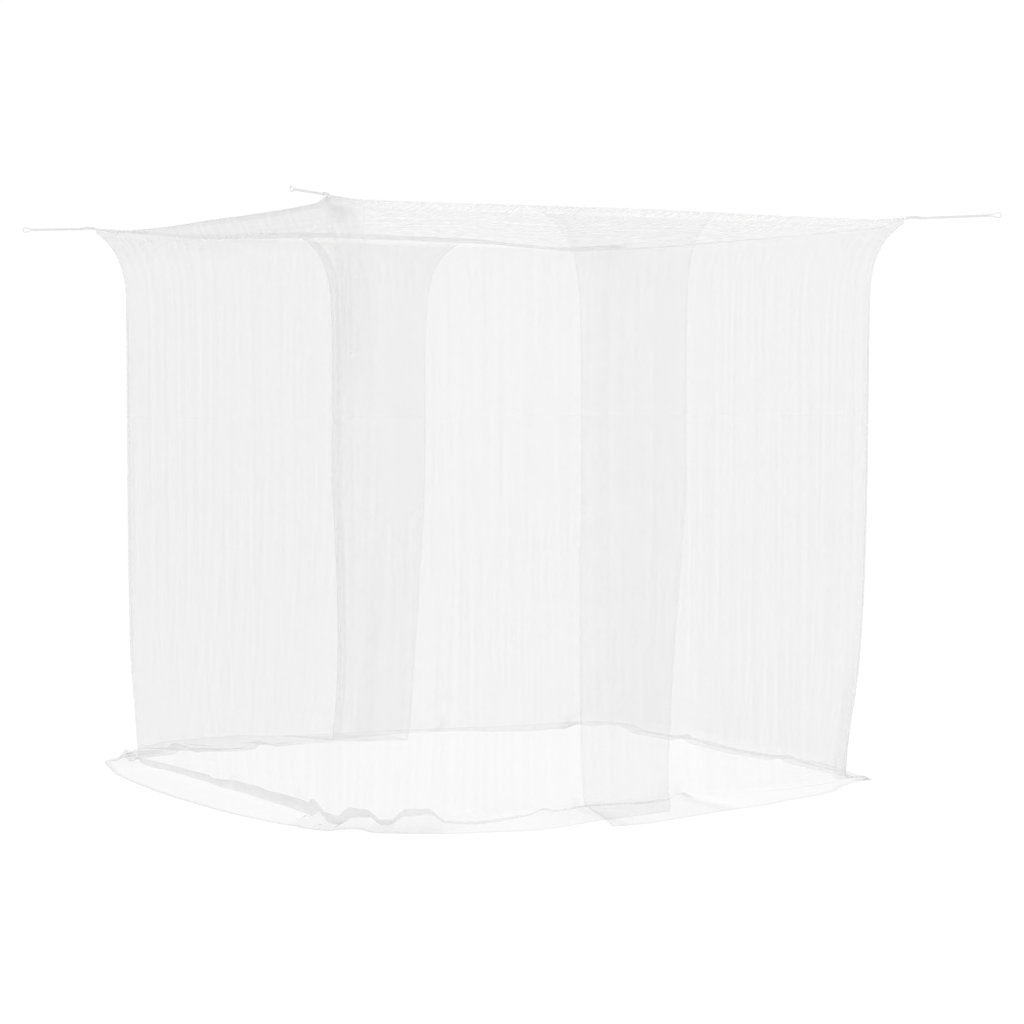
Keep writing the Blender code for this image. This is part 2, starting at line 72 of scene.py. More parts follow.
camera = bpy.data.objects.new("camera", bpy.data.cameras.new("camera"))
scene.collection.objects.link(camera)
camera.location = (STAND_X, STAND_Y, EYE_HEIGHT - HANG_HEIGHT)
camera.rotation_euler = (math.pi / 2 - TILT, 0, -TURN)
camera.data.lens, camera.data.sensor_width = LENS, SENSOR
camera.data.clip_end = 400
scene.camera = camera
print("camera stands", round((camera.location - Vector()).length, 2), "m from the roof's middle")

# %% [markdown]
# ## The edge of the roof
#
# All the cloth hangs from one line, where the tape is sewn round the roof. The ties pull its
# corners out; its sides bow inwards and sag unevenly. Every piece below asks this line where it
# hangs.
#
# Places along it are counted in walls, anticlockwise seen from above: 0 is the front left corner,
# 1 the front right, 2 the back right and 3 the back left.

# %% Small helpers for smooth lines
ROOF_X, ROOF_Y = 2.20, 1.90
WALL_X, WALL_Y = 2.03, 1.73  # between the walls, below the flare


def ease(x):
    """0 to 1 with level ends."""
    x = min(max(x, 0.0), 1.0)
    return x * x * (3 - 2 * x)


def mix(a, b, share):
    return a + (b - a) * share


def between(rows, at, column):
    """A column of a table at any place, on a smooth line that doesn't swing past its rows."""
    last = len(rows) - 1
    at = min(max(at, rows[0].at), rows[-1].at)

    def slope(i):
        a, b = rows[i], rows[i + 1]
        return (getattr(b, column) - getattr(a, column)) / (b.at - a.at)

    def tangent(i):
        if i in (0, last):
            return slope(min(i, last - 1))
        a, b = slope(i - 1), slope(i)
        return 2 * a * b / (a + b) if a * b > 0 else 0.0

    i = min(max(bisect_right([row.at for row in rows], at) - 1, 0), last - 1)
    size = rows[i + 1].at - rows[i].at
    t = (at - rows[i].at) / size
    a, b = getattr(rows[i], column), getattr(rows[i + 1], column)
    lean_a, lean_b = tangent(i) * size, tangent(i + 1) * size
    return mix(a, b, ease(t)) + t * (1 - t) * (lean_a * (1 - t) - lean_b * t)


def table(fields, *rows):
    """Rows of sizes, each with its columns named."""
    kind = namedtuple("Row", fields)
    return [kind(*row) for row in rows]


def through(places, others, at):
    """Carries a place from one list of places to another, in straight stretches."""
    i = min(max(bisect_right(places, at) - 1, 0), len(places) - 2)
    share = (at - places[i]) / (places[i + 1] - places[i])
    return mix(others[i], others[i + 1], share)


def runs(points):
    """How far along a line each of its points lies."""
    out = [0.0]
    for a, b in zip(points, points[1:]):
        out.append(out[-1] + (a - b).length)
    return out


def ring(at, half_x, half_y, radius):
    """A point of a rounded rectangle, and the direction out of it, at a place along its walls."""
    side = int(math.floor(at)) % 4
    share = at - math.floor(at)
    length = 2 * (half_y if side % 2 else half_x)
    arc = math.pi * radius / 4
    run = share * (length - 2 * radius + 2 * arc)
    straight = length - 2 * radius
    if run < arc:
        turn = run / radius - math.pi / 4
        along, out = radius + radius * math.sin(turn), radius * (1 - math.cos(turn))
    elif run <= arc + straight:
        turn, along, out = 0.0, radius + run - arc, 0.0
    else:
        turn = (run - arc - straight) / radius
        along = length - radius + radius * math.sin(turn)
        out = radius * (1 - math.cos(turn))
    # the front wall first, facing -Y, then turned to the wall's own side
    depth = half_x if side % 2 else half_y
    facing = Matrix.Rotation(side * math.pi / 2, 3, "Z")
    point = facing @ Vector((along - length / 2, out - depth, 0))
    return point, facing @ Vector((math.sin(turn), -math.cos(turn), 0))


# %% The line of the roof's edge
EDGE_BOW = 0.030  # how far each side bows inwards halfway between two corners
ROOF_CORNER, WALL_CORNER = 0.020, 0.030  # rounding of the corners, seen from above

# how far the edge hangs below the ties, all the way round
ROOF_EDGE = table(
    "at drop",
    (0, 0), (0.05, 0.009), (0.5, 0.002), (0.93, 0.009), (1, 0), (1.08, 0.025), (1.5, 0.031),
    (1.92, 0.026), (2, 0.006), (2.12, 0.02), (2.32, -0.002), (2.6, -0.006), (2.85, 0.016),
    (3, 0.004), (3.08, 0.022), (3.3, 0.028), (3.52, 0.024), (3.75, 0.024), (3.95, 0.019), (4, 0),
)


def edge_bow(at):
    share = at - math.floor(at)
    return EDGE_BOW * 4 * share * (1 - share)


def roof_edge(at):
    """The middle of the tape at a place along the edge, and the direction out of the roof."""
    point, out = ring(at, ROOF_X / 2, ROOF_Y / 2, ROOF_CORNER)
    point -= out * edge_bow(at)
    point.z = -between(ROOF_EDGE, at % 4, "drop")
    return point, out


EDGE_LENGTH = runs([roof_edge(k / 200)[0] for k in range(801)])[-1]
print("the roof's edge is", round(EDGE_LENGTH, 3), "m round")

# %% [markdown]
# ## The ties
#
# Each corner hangs from one cord of 4 mm, with both ends sewn into the tab at the corner: it runs
# out, turns in a small eye and comes back above itself. A curve with a round bevel would do for a
# smooth cord. This one is laid from three strands, so a three-lobed outline is carried along the
# route and turned a little at each step.

# %% The route of a tie
BINDING_WIDE, BINDING_TALL = 0.0054, 0.009
GAP = 0.0003
CORD = 0.004
STRAND_GAP = 0.0005
EYE_RADIUS = 0.008  # of the cord's middle, at the end of a tie
EYE_LENGTH = 0.045
TAB_LENGTH, TAB_TALL, TAB_WIDE, TAB_ARCH = 0.055, 0.011, 0.0055, 0.003
STEP = 0.0016  # between the rings of a cord

TIES = table(
    "name corner aim length rise",
    ("front_left", 0, Vector((-1, -1, 0)), 0.36, -0.005),
    ("front_right", 1, Vector((1, -1, 0)), 0.33, 0.006),
    ("back_right", 2, Vector((1, 1, 0)), 0.30, 0.016),
    ("back_left", 3, Vector((-1, 1, 0)), 0.29, 0.0),
)


def tab_seat(tie):
    """Where a tab starts outside the binding, and its directions out and sideways."""
    point, _ = roof_edge(tie.corner)
    aim = tie.aim.normalized()
    return point + aim * (BINDING_WIDE / 2 + GAP), aim, Vector((-aim.y, aim.x, 0))


def tie_route(tie):
    """Points of a tie's middle line: out along its lower strand, round the eye and back."""
    seat, aim, _ = tab_seat(tie)
    strand = (CORD + STRAND_GAP) / 2
    start = TAB_LENGTH + GAP
    straight = tie.length - TAB_LENGTH - EYE_LENGTH
    steps = round(straight / STEP)
    lower = [(start + straight * k / steps, -strand) for k in range(steps)]
    neck = EYE_LENGTH - 2 * EYE_RADIUS
    steps = round(neck / STEP)
    for k in range(steps):
        share = k / steps
        lower.append((start + straight + neck * share, -mix(strand, EYE_RADIUS, ease(share))))
    middle = start + straight + neck
    turns = [math.radians(a) for a in range(-90, 0, 9)]
    lower += [(middle + EYE_RADIUS * math.cos(a), EYE_RADIUS * math.sin(a)) for a in turns]
    tip = [(middle + EYE_RADIUS, 0.0)]
    upper = [(along, -up) for along, up in reversed(lower)]
    lean = tie.rise / (tie.length - TAB_LENGTH)
    route = [(along, up + lean * (along - start)) for along, up in lower + tip + upper]
    return [seat + aim * along + Vector((0, 0, up)) for along, up in route]


# %% A helper that makes a mesh with measured UVs
def add_piece(name, points, faces, uvs, attributes=()):
    """A new mesh object. uvs has one pair for each point of a face, in metres along the cloth."""
    mesh = bpy.data.meshes.new(name)
    mesh.from_pydata(points, [], faces)
    layer = mesh.uv_layers.new(name="cloth")
    for loop, uv in zip(layer.data, uvs):
        loop.uv = uv
    for label, values in attributes:
        mesh.attributes.new(label, "FLOAT", "POINT").data.foreach_set("value", values)
    mesh.update()
    obj = bpy.data.objects.new(name, mesh)
    scene.collection.objects.link(obj)
    return obj


def grid(columns, rows, uv, cells):
    """Faces between the columns of a grid of points, cells in each, and their UVs."""
    faces, uvs = [], []
    for i in range(columns - 1):
        for j in range(cells):
            corners = ((i, j), (i, j + 1), (i + 1, j + 1), (i + 1, j))
            faces.append([a * rows + b % rows for a, b in corners])
            uvs += [uv(a, b) for a, b in corners]
    return faces, uvs


def triangles(obj):
    return sum(len(face.vertices) - 2 for face in obj.data.polygons)


def stand_for(obj, node):
    """The piece rides on the canopy's one body and is shown in place of a solid."""
    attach(obj, "root")
    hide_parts(node)
    print(obj.name, "has", triangles(obj), "triangles")


# %% Lay the four ties
SIDES = 15  # points round a cord
LAY_LENGTH = 0.014  # along which the three strands go once round
LOBE = 0.16  # how much of the radius lies between the strands


def make_tie(tie):
    path = tie_route(tie)
    _, _, across = tab_seat(tie)
    points, run = [], runs(path)
    for i, here in enumerate(path):
        before, after = path[max(i - 1, 0)], path[min(i + 1, len(path) - 1)]
        forward = (after - before).normalized()
        up = across.cross(forward).normalized()
        twist = 2 * math.pi * run[i] / LAY_LENGTH
        for k in range(SIDES):
            a = 2 * math.pi * k / SIDES
            lobes = abs(math.cos(1.5 * (a - twist)))  # three of them
            radius = CORD / 2 * (1 - LOBE + LOBE * lobes)
            points.append(here + (across * math.cos(a) + up * math.sin(a)) * radius)
    faces, uvs = grid(len(path), SIDES, lambda i, k: (run[i], CORD * math.pi * k / SIDES), SIDES)
    last = (len(path) - 1) * SIDES
    for cap in (range(SIDES - 1, -1, -1), range(last, last + SIDES)):
        faces.append(tuple(cap))
        uvs += [(0.0, 0.0)] * SIDES
    obj = add_piece("cord_" + tie.name, points, faces, uvs)
    obj.data.shade_smooth()
    stand_for(obj, "tie_" + tie.name)
    print(obj.name, "is", round(run[-1], 3), "m long")
    return obj


cords = [make_tie(tie) for tie in TIES]

# %% [markdown]
# ## Shared patterns
#
# Cloth, tape and cord need a few effects over and over. Each is a node group with its own numbers
# on the outside, built once and placed in every material that wants it. A group only hands out
# masks and heights; the shader stays in the material.

# %% A helper for wiring nodes
class Wiring:
    """Adds nodes to a tree. An input may be a number, a vector, a colour or another socket."""

    def __init__(self, tree):
        self.tree = tree

    def link(self, value, socket):
        self.tree.links.new(value, socket)

    def node(self, kind, inputs=(), **settings):
        node = self.tree.nodes.new(kind)
        for key, value in settings.items():
            setattr(node, key, value)
        for key, value in dict(inputs).items():
            if isinstance(value, bpy.types.NodeSocket):
                self.link(value, node.inputs[key])
            else:
                node.inputs[key].default_value = value
        return node

    def math(self, operation, a, b=0.0, c=0.0, clamp=False):
        node = self.node("ShaderNodeMath", {0: a, 1: b, 2: c}, operation=operation)
        node.use_clamp = clamp
        return node.outputs[0]

    def add(self, a, b, clamp=False):
        return self.math("ADD", a, b, clamp=clamp)

    def sub(self, a, b, clamp=False):
        return self.math("SUBTRACT", a, b, clamp=clamp)

    def mul(self, a, b):
        return self.math("MULTIPLY", a, b)

    def ramp(self, value, low, high, to_low=0.0, to_high=1.0, smooth=True):
        """Carries low..high to to_low..to_high."""
        inputs = {"Value": value, "From Min": low, "From Max": high,
                  "To Min": to_low, "To Max": to_high}
        node = self.node("ShaderNodeMapRange", inputs)
        node.interpolation_type = "SMOOTHSTEP" if smooth else "LINEAR"
        return node.outputs["Result"]

    def group(self, tree, inputs):
        return self.node("ShaderNodeGroup", inputs, node_tree=tree).outputs


def new_group(name, numbers, outputs, vector=True):
    """An empty node group that is given a vector and numbers, and puts out numbers."""
    tree = bpy.data.node_groups.new(name, "ShaderNodeTree")
    if vector:
        tree.interface.new_socket("Vector", in_out="INPUT", socket_type="NodeSocketVector")
    for label, value in numbers.items():
        socket = tree.interface.new_socket(label, in_out="INPUT", socket_type="NodeSocketFloat")
        socket.default_value = value
    for label in outputs:
        tree.interface.new_socket(label, in_out="OUTPUT", socket_type="NodeSocketFloat")
    entry, leave = tree.nodes.new("NodeGroupInput"), tree.nodes.new("NodeGroupOutput")
    return Wiring(tree), entry.outputs, leave.inputs


# %% The knitted mesh: round holes on a grid of triangles
def knitted_mesh():
    """Three waves laid 60 degrees apart add up to peaks, which are the holes of the net."""
    w, given, gives = new_group(
        "knitted mesh", {"Pitch": 0.0018, "Thread": 0.4}, ["Thread", "Height"])
    total = None
    for degrees in (0, 60, 120):
        a = math.radians(degrees)
        facing = (math.cos(a), math.sin(a), 0)
        along = w.node("ShaderNodeVectorMath", {0: given["Vector"], 1: facing},
                       operation="DOT_PRODUCT").outputs["Value"]
        turns = w.math("DIVIDE", w.mul(along, 2 * math.pi), given["Pitch"])
        wave = w.math("COSINE", turns)
        total = wave if total is None else w.add(total, wave)
    # more thread means smaller holes, so the peak has to be higher before it counts as a hole
    edge = w.ramp(given["Thread"], 0.0, 1.0, -1.0, 2.6, smooth=False)
    hole = w.mul(w.sub(total, edge), 1.6)
    thread = w.sub(1.0, w.ramp(hole, -0.5, 0.5))
    w.link(thread, gives["Thread"])
    w.link(w.mul(thread, w.ramp(total, 1.5, -1.5)), gives["Height"])
    return w.tree


# %% Streaks that run down a cloth
def slow_streaks():
    """Uneven knitting: noise that is long and narrow, because it is stretched down the cloth."""
    w, given, gives = new_group("slow streaks", {"Narrow": 60.0, "Long": 0.8}, ["Streak"])
    size = w.node("ShaderNodeCombineXYZ", {"X": given["Narrow"], "Y": given["Long"]})
    stretched = w.node("ShaderNodeVectorMath", {0: given["Vector"], 1: size.outputs[0]},
                       operation="MULTIPLY").outputs[0]
    streak = w.node("ShaderNodeTexNoise", {"Vector": stretched, "Scale": 1.0, "Detail": 0.0})
    w.link(w.ramp(streak.outputs[0], 0.3, 0.7), gives["Streak"])
    return w.tree


# %% A row of stitches
def stitch_row():
    """Short dashes along a line: 1 on the thread, 0 beside it, with a rounded height."""
    numbers = {"Along": 0.0, "Off": 0.0, "Length": 0.0035, "Wide": 0.0007}
    w, given, gives = new_group("stitch row", numbers, ["Mask", "Height"], vector=False)
    turn = w.math("FRACT", w.math("DIVIDE", given["Along"], given["Length"]))
    middle = w.math("ABSOLUTE", w.sub(turn, 0.5))
    dash = w.ramp(middle, 0.40, 0.32)
    off = w.math("DIVIDE", w.math("ABSOLUTE", given["Off"]), given["Wide"])
    across = w.ramp(off, 0.75, 0.35)
    w.link(w.mul(dash, across), gives["Mask"])
    round_top = w.math("SQRT", w.sub(1.0, w.math("POWER", off, 2.0), clamp=True))
    w.link(w.mul(dash, round_top), gives["Height"])
    return w.tree


# %% A woven grain for tape and cord
def woven_grain():
    """Over and under: two waves at right angles, one of them shifted at every other pass."""
    w, given, gives = new_group("woven grain", {"Pitch": 0.0008}, ["Height", "Slub"])
    parts = w.node("ShaderNodeSeparateXYZ", {0: given["Vector"]}).outputs
    turns = [w.math("DIVIDE", w.mul(parts[k], math.pi), given["Pitch"]) for k in (0, 1)]
    over = w.mul(w.math("SINE", turns[0]), w.math("SINE", turns[1]))
    ribs = w.math("ABSOLUTE", w.math("SINE", w.add(turns[0], turns[1])))
    height = w.add(w.mul(over, 0.5), w.mul(ribs, 0.5))
    slub = w.node("ShaderNodeTexNoise", {"Vector": given["Vector"], "Scale": 140.0, "Detail": 3.0})
    w.link(height, gives["Height"])
    w.link(w.ramp(slub.outputs[0], 0.35, 0.65), gives["Slub"])
    return w.tree


MESH, STREAKS, STITCHES, GRAIN = knitted_mesh(), slow_streaks(), stitch_row(), woven_grain()
print("node groups:", ", ".join(tree.name for tree in (MESH, STREAKS, STITCHES, GRAIN)))

# %% [markdown]
# ## The net material
#
# The net is white polyester, knitted with holes of less than two millimetres. From a few metres
# away it reads as a pale veil, greyer where two or three layers lie behind each other. That comes
# from the alpha, high on the threads and low in the holes. A glassy shader would bend the light,
# which goes straight through a hole.
#
# Each sheet is a thin closed skin, so a look through it crosses two faces, and each carries half
# of the veil. The hem is denser and has a line of stitches. Where net is gathered, its threads lie
# closer together, and painted shade darkens them.

# %% The net
SIDE_HEM, RIM_HEM = 0.010, 0.020
STITCH_INSET = 0.002  # from the inner edge of a hem to its stitches
HEM_BLUR = 0.001
KNIT_PITCH, KNIT_THREAD = 0.0018, 0.42
IN_HOLE, ON_THREAD = 0.035, 0.155  # the veil of one face
SIDE_VEIL, RIM_VEIL, STITCH_VEIL = 0.02, 0.05, 0.07  # what hems and stitches add to it
# painted shade: past SHADE_FROM the gather darkens the net's colour, which is darkest at SHADE_TO
SHADE_FROM, SHADE_TO = 1.2, 3.2  # how gathered the net is where its threads start to get darker


def start_material(name, sheen):
    material = bpy.data.materials.new(name)
    material.use_nodes = True
    shader = material.node_tree.nodes["Principled BSDF"]
    shader.inputs["Sheen Weight"].default_value = sheen
    shader.inputs["Sheen Roughness"].default_value = 0.5
    shader.inputs["Specular IOR Level"].default_value = 0.3
    return material, Wiring(material.node_tree), shader


def cloth_uv(w):
    """Metres along the cloth, together and apart."""
    uv = w.node("ShaderNodeUVMap", uv_map="cloth").outputs["UV"]
    return uv, w.node("ShaderNodeSeparateXYZ", {0: uv}).outputs


def set_look(w, shader, greys, tone, roughness, height, depth):
    """A colour between two greys, a roughness, and a relief that is depth metres deep."""
    mixed = w.node("ShaderNodeMix", data_type="RGBA")
    w.link(tone, mixed.inputs["Factor"])
    for key, grey in zip("AB", greys):
        mixed.inputs[key].default_value = (grey, grey, grey, 1)
    w.link([out for out in mixed.outputs if out.type == "RGBA"][0], shader.inputs["Base Color"])
    w.link(roughness, shader.inputs["Roughness"])
    relief = w.node("ShaderNodeBump", {"Height": height, "Distance": depth, "Strength": 1.0})
    w.link(relief.outputs["Normal"], shader.inputs["Normal"])


def net_material():
    material, w, shader = start_material("white_net", sheen=0.25)
    uv, along = cloth_uv(w)
    side, rim, gather = (
        w.node("ShaderNodeAttribute", attribute_name=name).outputs["Fac"]
        for name in ("from_side", "from_rim", "gather")
    )
    knit = w.group(MESH, {"Vector": uv, "Pitch": KNIT_PITCH, "Thread": KNIT_THREAD})
    streak = w.group(STREAKS, {"Vector": uv, "Narrow": 42.0, "Long": 0.7})["Streak"]
    # the veil of one face: threads, holes, slow unevenness, gathers, hems, stitches
    veil = w.ramp(knit["Thread"], 0.0, 1.0, IN_HOLE, ON_THREAD, smooth=False)
    veil = w.mul(veil, w.ramp(streak, 0.0, 1.0, 0.97, 1.06, smooth=False))
    veil = w.mul(veil, w.add(gather, 1.0))
    hems, rows = [], []
    for run, away, wide, more in ((along[1], side, SIDE_HEM, SIDE_VEIL),
                                  (along[0], rim, RIM_HEM, RIM_VEIL)):
        hems.append(w.mul(w.ramp(away, wide + HEM_BLUR, wide - HEM_BLUR), more))
        row = w.group(STITCHES, {"Along": run, "Off": w.sub(away, wide - STITCH_INSET)})
        rows.append(row["Mask"])
    veil = w.add(veil, w.add(*hems))
    veil = w.add(veil, w.mul(w.math("MAXIMUM", *rows), STITCH_VEIL), clamp=True)
    w.link(veil, shader.inputs["Alpha"])
    # painted shade: where the net is gathered its threads are darkened, down to the 0.50 grey, as
    # if they stood in each other's light
    lit = w.ramp(gather, SHADE_FROM, SHADE_TO, 1.0, 0.0)
    # painted shade as well: the threads are darker towards their holes, following the knit's
    # height
    tone = w.mul(w.ramp(knit["Height"], 0, 1, 0.8, 1.0, smooth=False), lit)
    set_look(w, shader, (0.50, 0.83), tone, w.ramp(knit["Height"], 0, 1, 0.92, 0.72),
             knit["Height"], 0.00015)
    return material


white_net = net_material()
print("net: veil of one face from", IN_HOLE, "in a hole to", ON_THREAD, "on a thread")

# %% [markdown]
# ## Tape and cord
#
# The binding and the tabs are white woven tape, closer and stiffer than the net. The binding is
# sewn with two rows of stitches and a tab with one. The ties' strands have fine fibres, which show
# as slanting lines because the strands are twisted.

# %% The tape
LEAF = BINDING_TALL + 0.0006  # across the tape, from an edge to its fold
BINDING_ROW = 0.0022  # from an edge of the tape to its row of stitches


def tape_material(name, rows_at, veil=None):
    """Woven tape. rows_at are the places across it of its rows of stitches. A sheer tape has a
    veil: the alpha of one of its faces, between threads and on them."""
    material, w, shader = start_material(name, sheen=0.2)
    uv, parts = cloth_uv(w)
    grain = w.group(GRAIN, {"Vector": uv, "Pitch": 0.0007})
    mask, height = None, w.mul(grain["Height"], 0.5)
    for place in rows_at:
        off = w.sub(parts[1], place)
        row = w.group(STITCHES, {"Along": parts[0], "Off": off, "Length": 0.003})
        mask = row["Mask"] if mask is None else w.math("MAXIMUM", mask, row["Mask"])
        height = w.add(height, row["Height"])
    # painted shade: the weave's hollows are darker than its tops, following its height; the slub
    # adds a random tone, and stitches are the lightest
    tone = w.add(w.mul(grain["Height"], 0.5), w.mul(grain["Slub"], 0.5))
    set_look(w, shader, (0.90, 0.97), w.math("MAXIMUM", tone, mask),
             w.ramp(grain["Slub"], 0, 1, 0.75, 0.9), height, 0.0003)
    if veil:
        sheer = w.ramp(w.math("MAXIMUM", grain["Height"], mask), 0.0, 1.0, *veil, smooth=False)
        w.link(sheer, shader.inputs["Alpha"])
    return material


binding_tape = tape_material(
    "binding_tape", (BINDING_ROW, 2 * LEAF + BINDING_WIDE - BINDING_ROW), veil=(0.02, 0.08))
tab_tape = tape_material("tab_tape", (0.0,))

# %% The cord
FIBRE = 0.0006  # from one fibre to the next


def cord_material():
    material, w, shader = start_material("white_cord", sheen=0.3)
    uv, parts = cloth_uv(w)
    grain = w.group(GRAIN, {"Vector": uv, "Pitch": FIBRE})
    # fibres: fine lines that slant across each strand, darker between the fibres, a painted shade
    # that follows their height; the slub adds a random tone
    slant = w.sub(w.mul(parts[1], 1.8), parts[0])
    fibre = w.math("SINE", w.mul(slant, 2 * math.pi / FIBRE))
    tone = w.add(w.mul(w.ramp(fibre, -1, 1), 0.5), w.mul(grain["Slub"], 0.5))
    set_look(w, shader, (0.88, 0.97), tone, w.ramp(tone, 0, 1, 0.85, 0.65), tone, 0.00018)
    return material


white_cord = cord_material()
for cord in cords:
    cord.data.materials.append(white_cord)
print("materials:", ", ".join(m.name for m in (white_net, binding_tape, tab_tape, white_cord)))

# %% [markdown]
# ## The edge binding
#
# A tape is folded over the seam, with an outer leaf, a fold on top and an inner leaf. It starts as
# a plane of the roof's size. Its face is deleted, its edges are cut into small steps, laid on the
# roof's edge line and extruded again and again, up the outer leaf, over and down the inner one.
# Solidify makes tape of the strip. Sewing draws the tape in between stitches, which the pucker
# adds.

# %% Fold the tape round the edge
TAPE = 0.0007  # thickness of the tape
EDGE_STEP = 0.007
PUCKER = 0.00045
# where each extruded line lies: out of the roof, and up, in shares of the binding's half sizes
TAPE_FOLD = [(0.96, -1.0), (1.0, -0.45), (0.92, 0.1), (1.0, 0.55), (0.8, 0.9), (0.35, 1.0),
             (-0.35, 1.0), (-0.8, 0.9), (-1.0, 0.55), (-0.92, 0.1), (-1.0, -0.45), (-0.96, -1.0)]


def edit_mode(on):
    bpy.ops.object.mode_set(mode="EDIT" if on else "OBJECT")


def place_on_rectangle(x, y, half_x, half_y):
    """The place along the walls of a point on the outline of a rectangle."""
    near = 1e-6
    if half_y + y < near:
        return 0.5 + x / half_x / 2
    if half_x - x < near:
        return 1.5 + y / half_y / 2
    if half_y - y < near:
        return 2.5 - x / half_x / 2
    return (3.5 - y / half_y / 2) % 4


def pucker(at, line):
    """Small, uneven in and out along the tape, different for each line of the fold."""
    return PUCKER * noise.noise(Vector((at * 170, line * 0.7, 3.1)))


def make_binding():
    bpy.ops.mesh.primitive_plane_add(size=1, location=(0, 0, 0))
    obj = bpy.context.object
    obj.name = "folded_binding"
    edit_mode(True)
    bpy.ops.transform.resize(value=(ROOF_X, ROOF_Y, 1))
    bpy.ops.mesh.delete(type="ONLY_FACE")
    bpy.ops.mesh.select_all(action="SELECT")
    bpy.ops.mesh.subdivide(number_cuts=round(ROOF_X / EDGE_STEP))
    edit_mode(False)
    places = obj.data.attributes.new("place", "FLOAT", "POINT")
    obj.data.attributes.new("line", "FLOAT", "POINT")
    for k, vertex in enumerate(obj.data.vertices):
        places.data[k].value = place_on_rectangle(*vertex.co.xy, ROOF_X / 2, ROOF_Y / 2)
    half_wide, half_tall = (BINDING_WIDE - TAPE) / 2, (BINDING_TALL - TAPE) / 2
    for line, (out_share, up_share) in enumerate(TAPE_FOLD):
        if line:
            edit_mode(True)
            bpy.ops.mesh.extrude_region_move()
            edit_mode(False)
        places, lines = obj.data.attributes["place"], obj.data.attributes["line"]
        for k, vertex in enumerate(obj.data.vertices):
            if vertex.select:
                at = places.data[k].value
                point, out = roof_edge(at)
                up = Vector((0, 0, half_tall * up_share + pucker(at, line + 40)))
                vertex.co = point + out * (half_wide * out_share + pucker(at, line)) + up
                lines.data[k].value = line
    return obj


binding = make_binding()
print(binding.name, "has", len(binding.data.vertices), "points before it gets its thickness")


# %% Give the tape its UVs and thickness
def apply_modifier(obj, kind, **settings):
    bpy.context.view_layer.objects.active = obj
    modifier = obj.modifiers.new(kind.lower(), kind)
    for key, value in settings.items():
        setattr(modifier, key, value)
    bpy.ops.object.modifier_apply(modifier=modifier.name)


def finish_binding(obj):
    across = [0.0]
    for (a, b), (c, d) in zip(TAPE_FOLD, TAPE_FOLD[1:]):
        wide, tall = (c - a) * BINDING_WIDE / 2, (d - b) * BINDING_TALL / 2
        across.append(across[-1] + math.hypot(wide, tall))
    places, lines = obj.data.attributes["place"], obj.data.attributes["line"]
    layer = obj.data.uv_layers[0] if obj.data.uv_layers else obj.data.uv_layers.new()
    layer.name = "cloth"
    for face in obj.data.polygons:
        ats = [places.data[v].value for v in face.vertices]
        ats = [at + 4 if max(ats) - at > 2 else at for at in ats]
        for loop, vertex, at in zip(face.loop_indices, face.vertices, ats):
            along = at / 4 * EDGE_LENGTH
            layer.data[loop].uv = (along, across[round(lines.data[vertex].value)])
    bpy.ops.object.select_all(action="DESELECT")
    obj.select_set(True)
    bpy.context.view_layer.objects.active = obj
    edit_mode(True)
    bpy.ops.mesh.select_all(action="SELECT")
    bpy.ops.mesh.normals_make_consistent(inside=False)
    edit_mode(False)
    apply_modifier(obj, "SOLIDIFY", thickness=TAPE, offset=0, use_even_offset=False)
    obj.data.shade_smooth()
    obj.data.materials.append(binding_tape)
    stand_for(obj, "edge_binding")
    bpy.ops.object.select_all(action="DESELECT")
    print("the tape is", round(across[-1] * 1000, 1), "mm wide")


finish_binding(binding)

# %% [markdown]
# ## The tabs
#
# At each corner a short tape is folded over the ends of the cord and sewn shut. A cube of its size
# is cut across, its sides are inset and pushed in to leave the two leaves of the tape, its far end
# is narrowed, and Subdivision rounds the folds. It is modelled once, lying along +X, and copied to
# the four corners, each copy with a mesh of its own.

# %% Model one tab
SEW_INSET, SEW_DEPTH = 0.0011, 0.0006  # of the groove between the two leaves
MOUTH_INSET, MOUTH_PULL = 0.0010, 0.004  # of the end where the cord comes out
TAPER = 0.07  # how much narrower a tab is at that end


def select_faces(obj, wanted):
    for part in (obj.data.vertices, obj.data.edges, obj.data.polygons):
        part.foreach_set("select", [False] * len(part))
    for face in obj.data.polygons:
        face.select = bool(wanted(face))


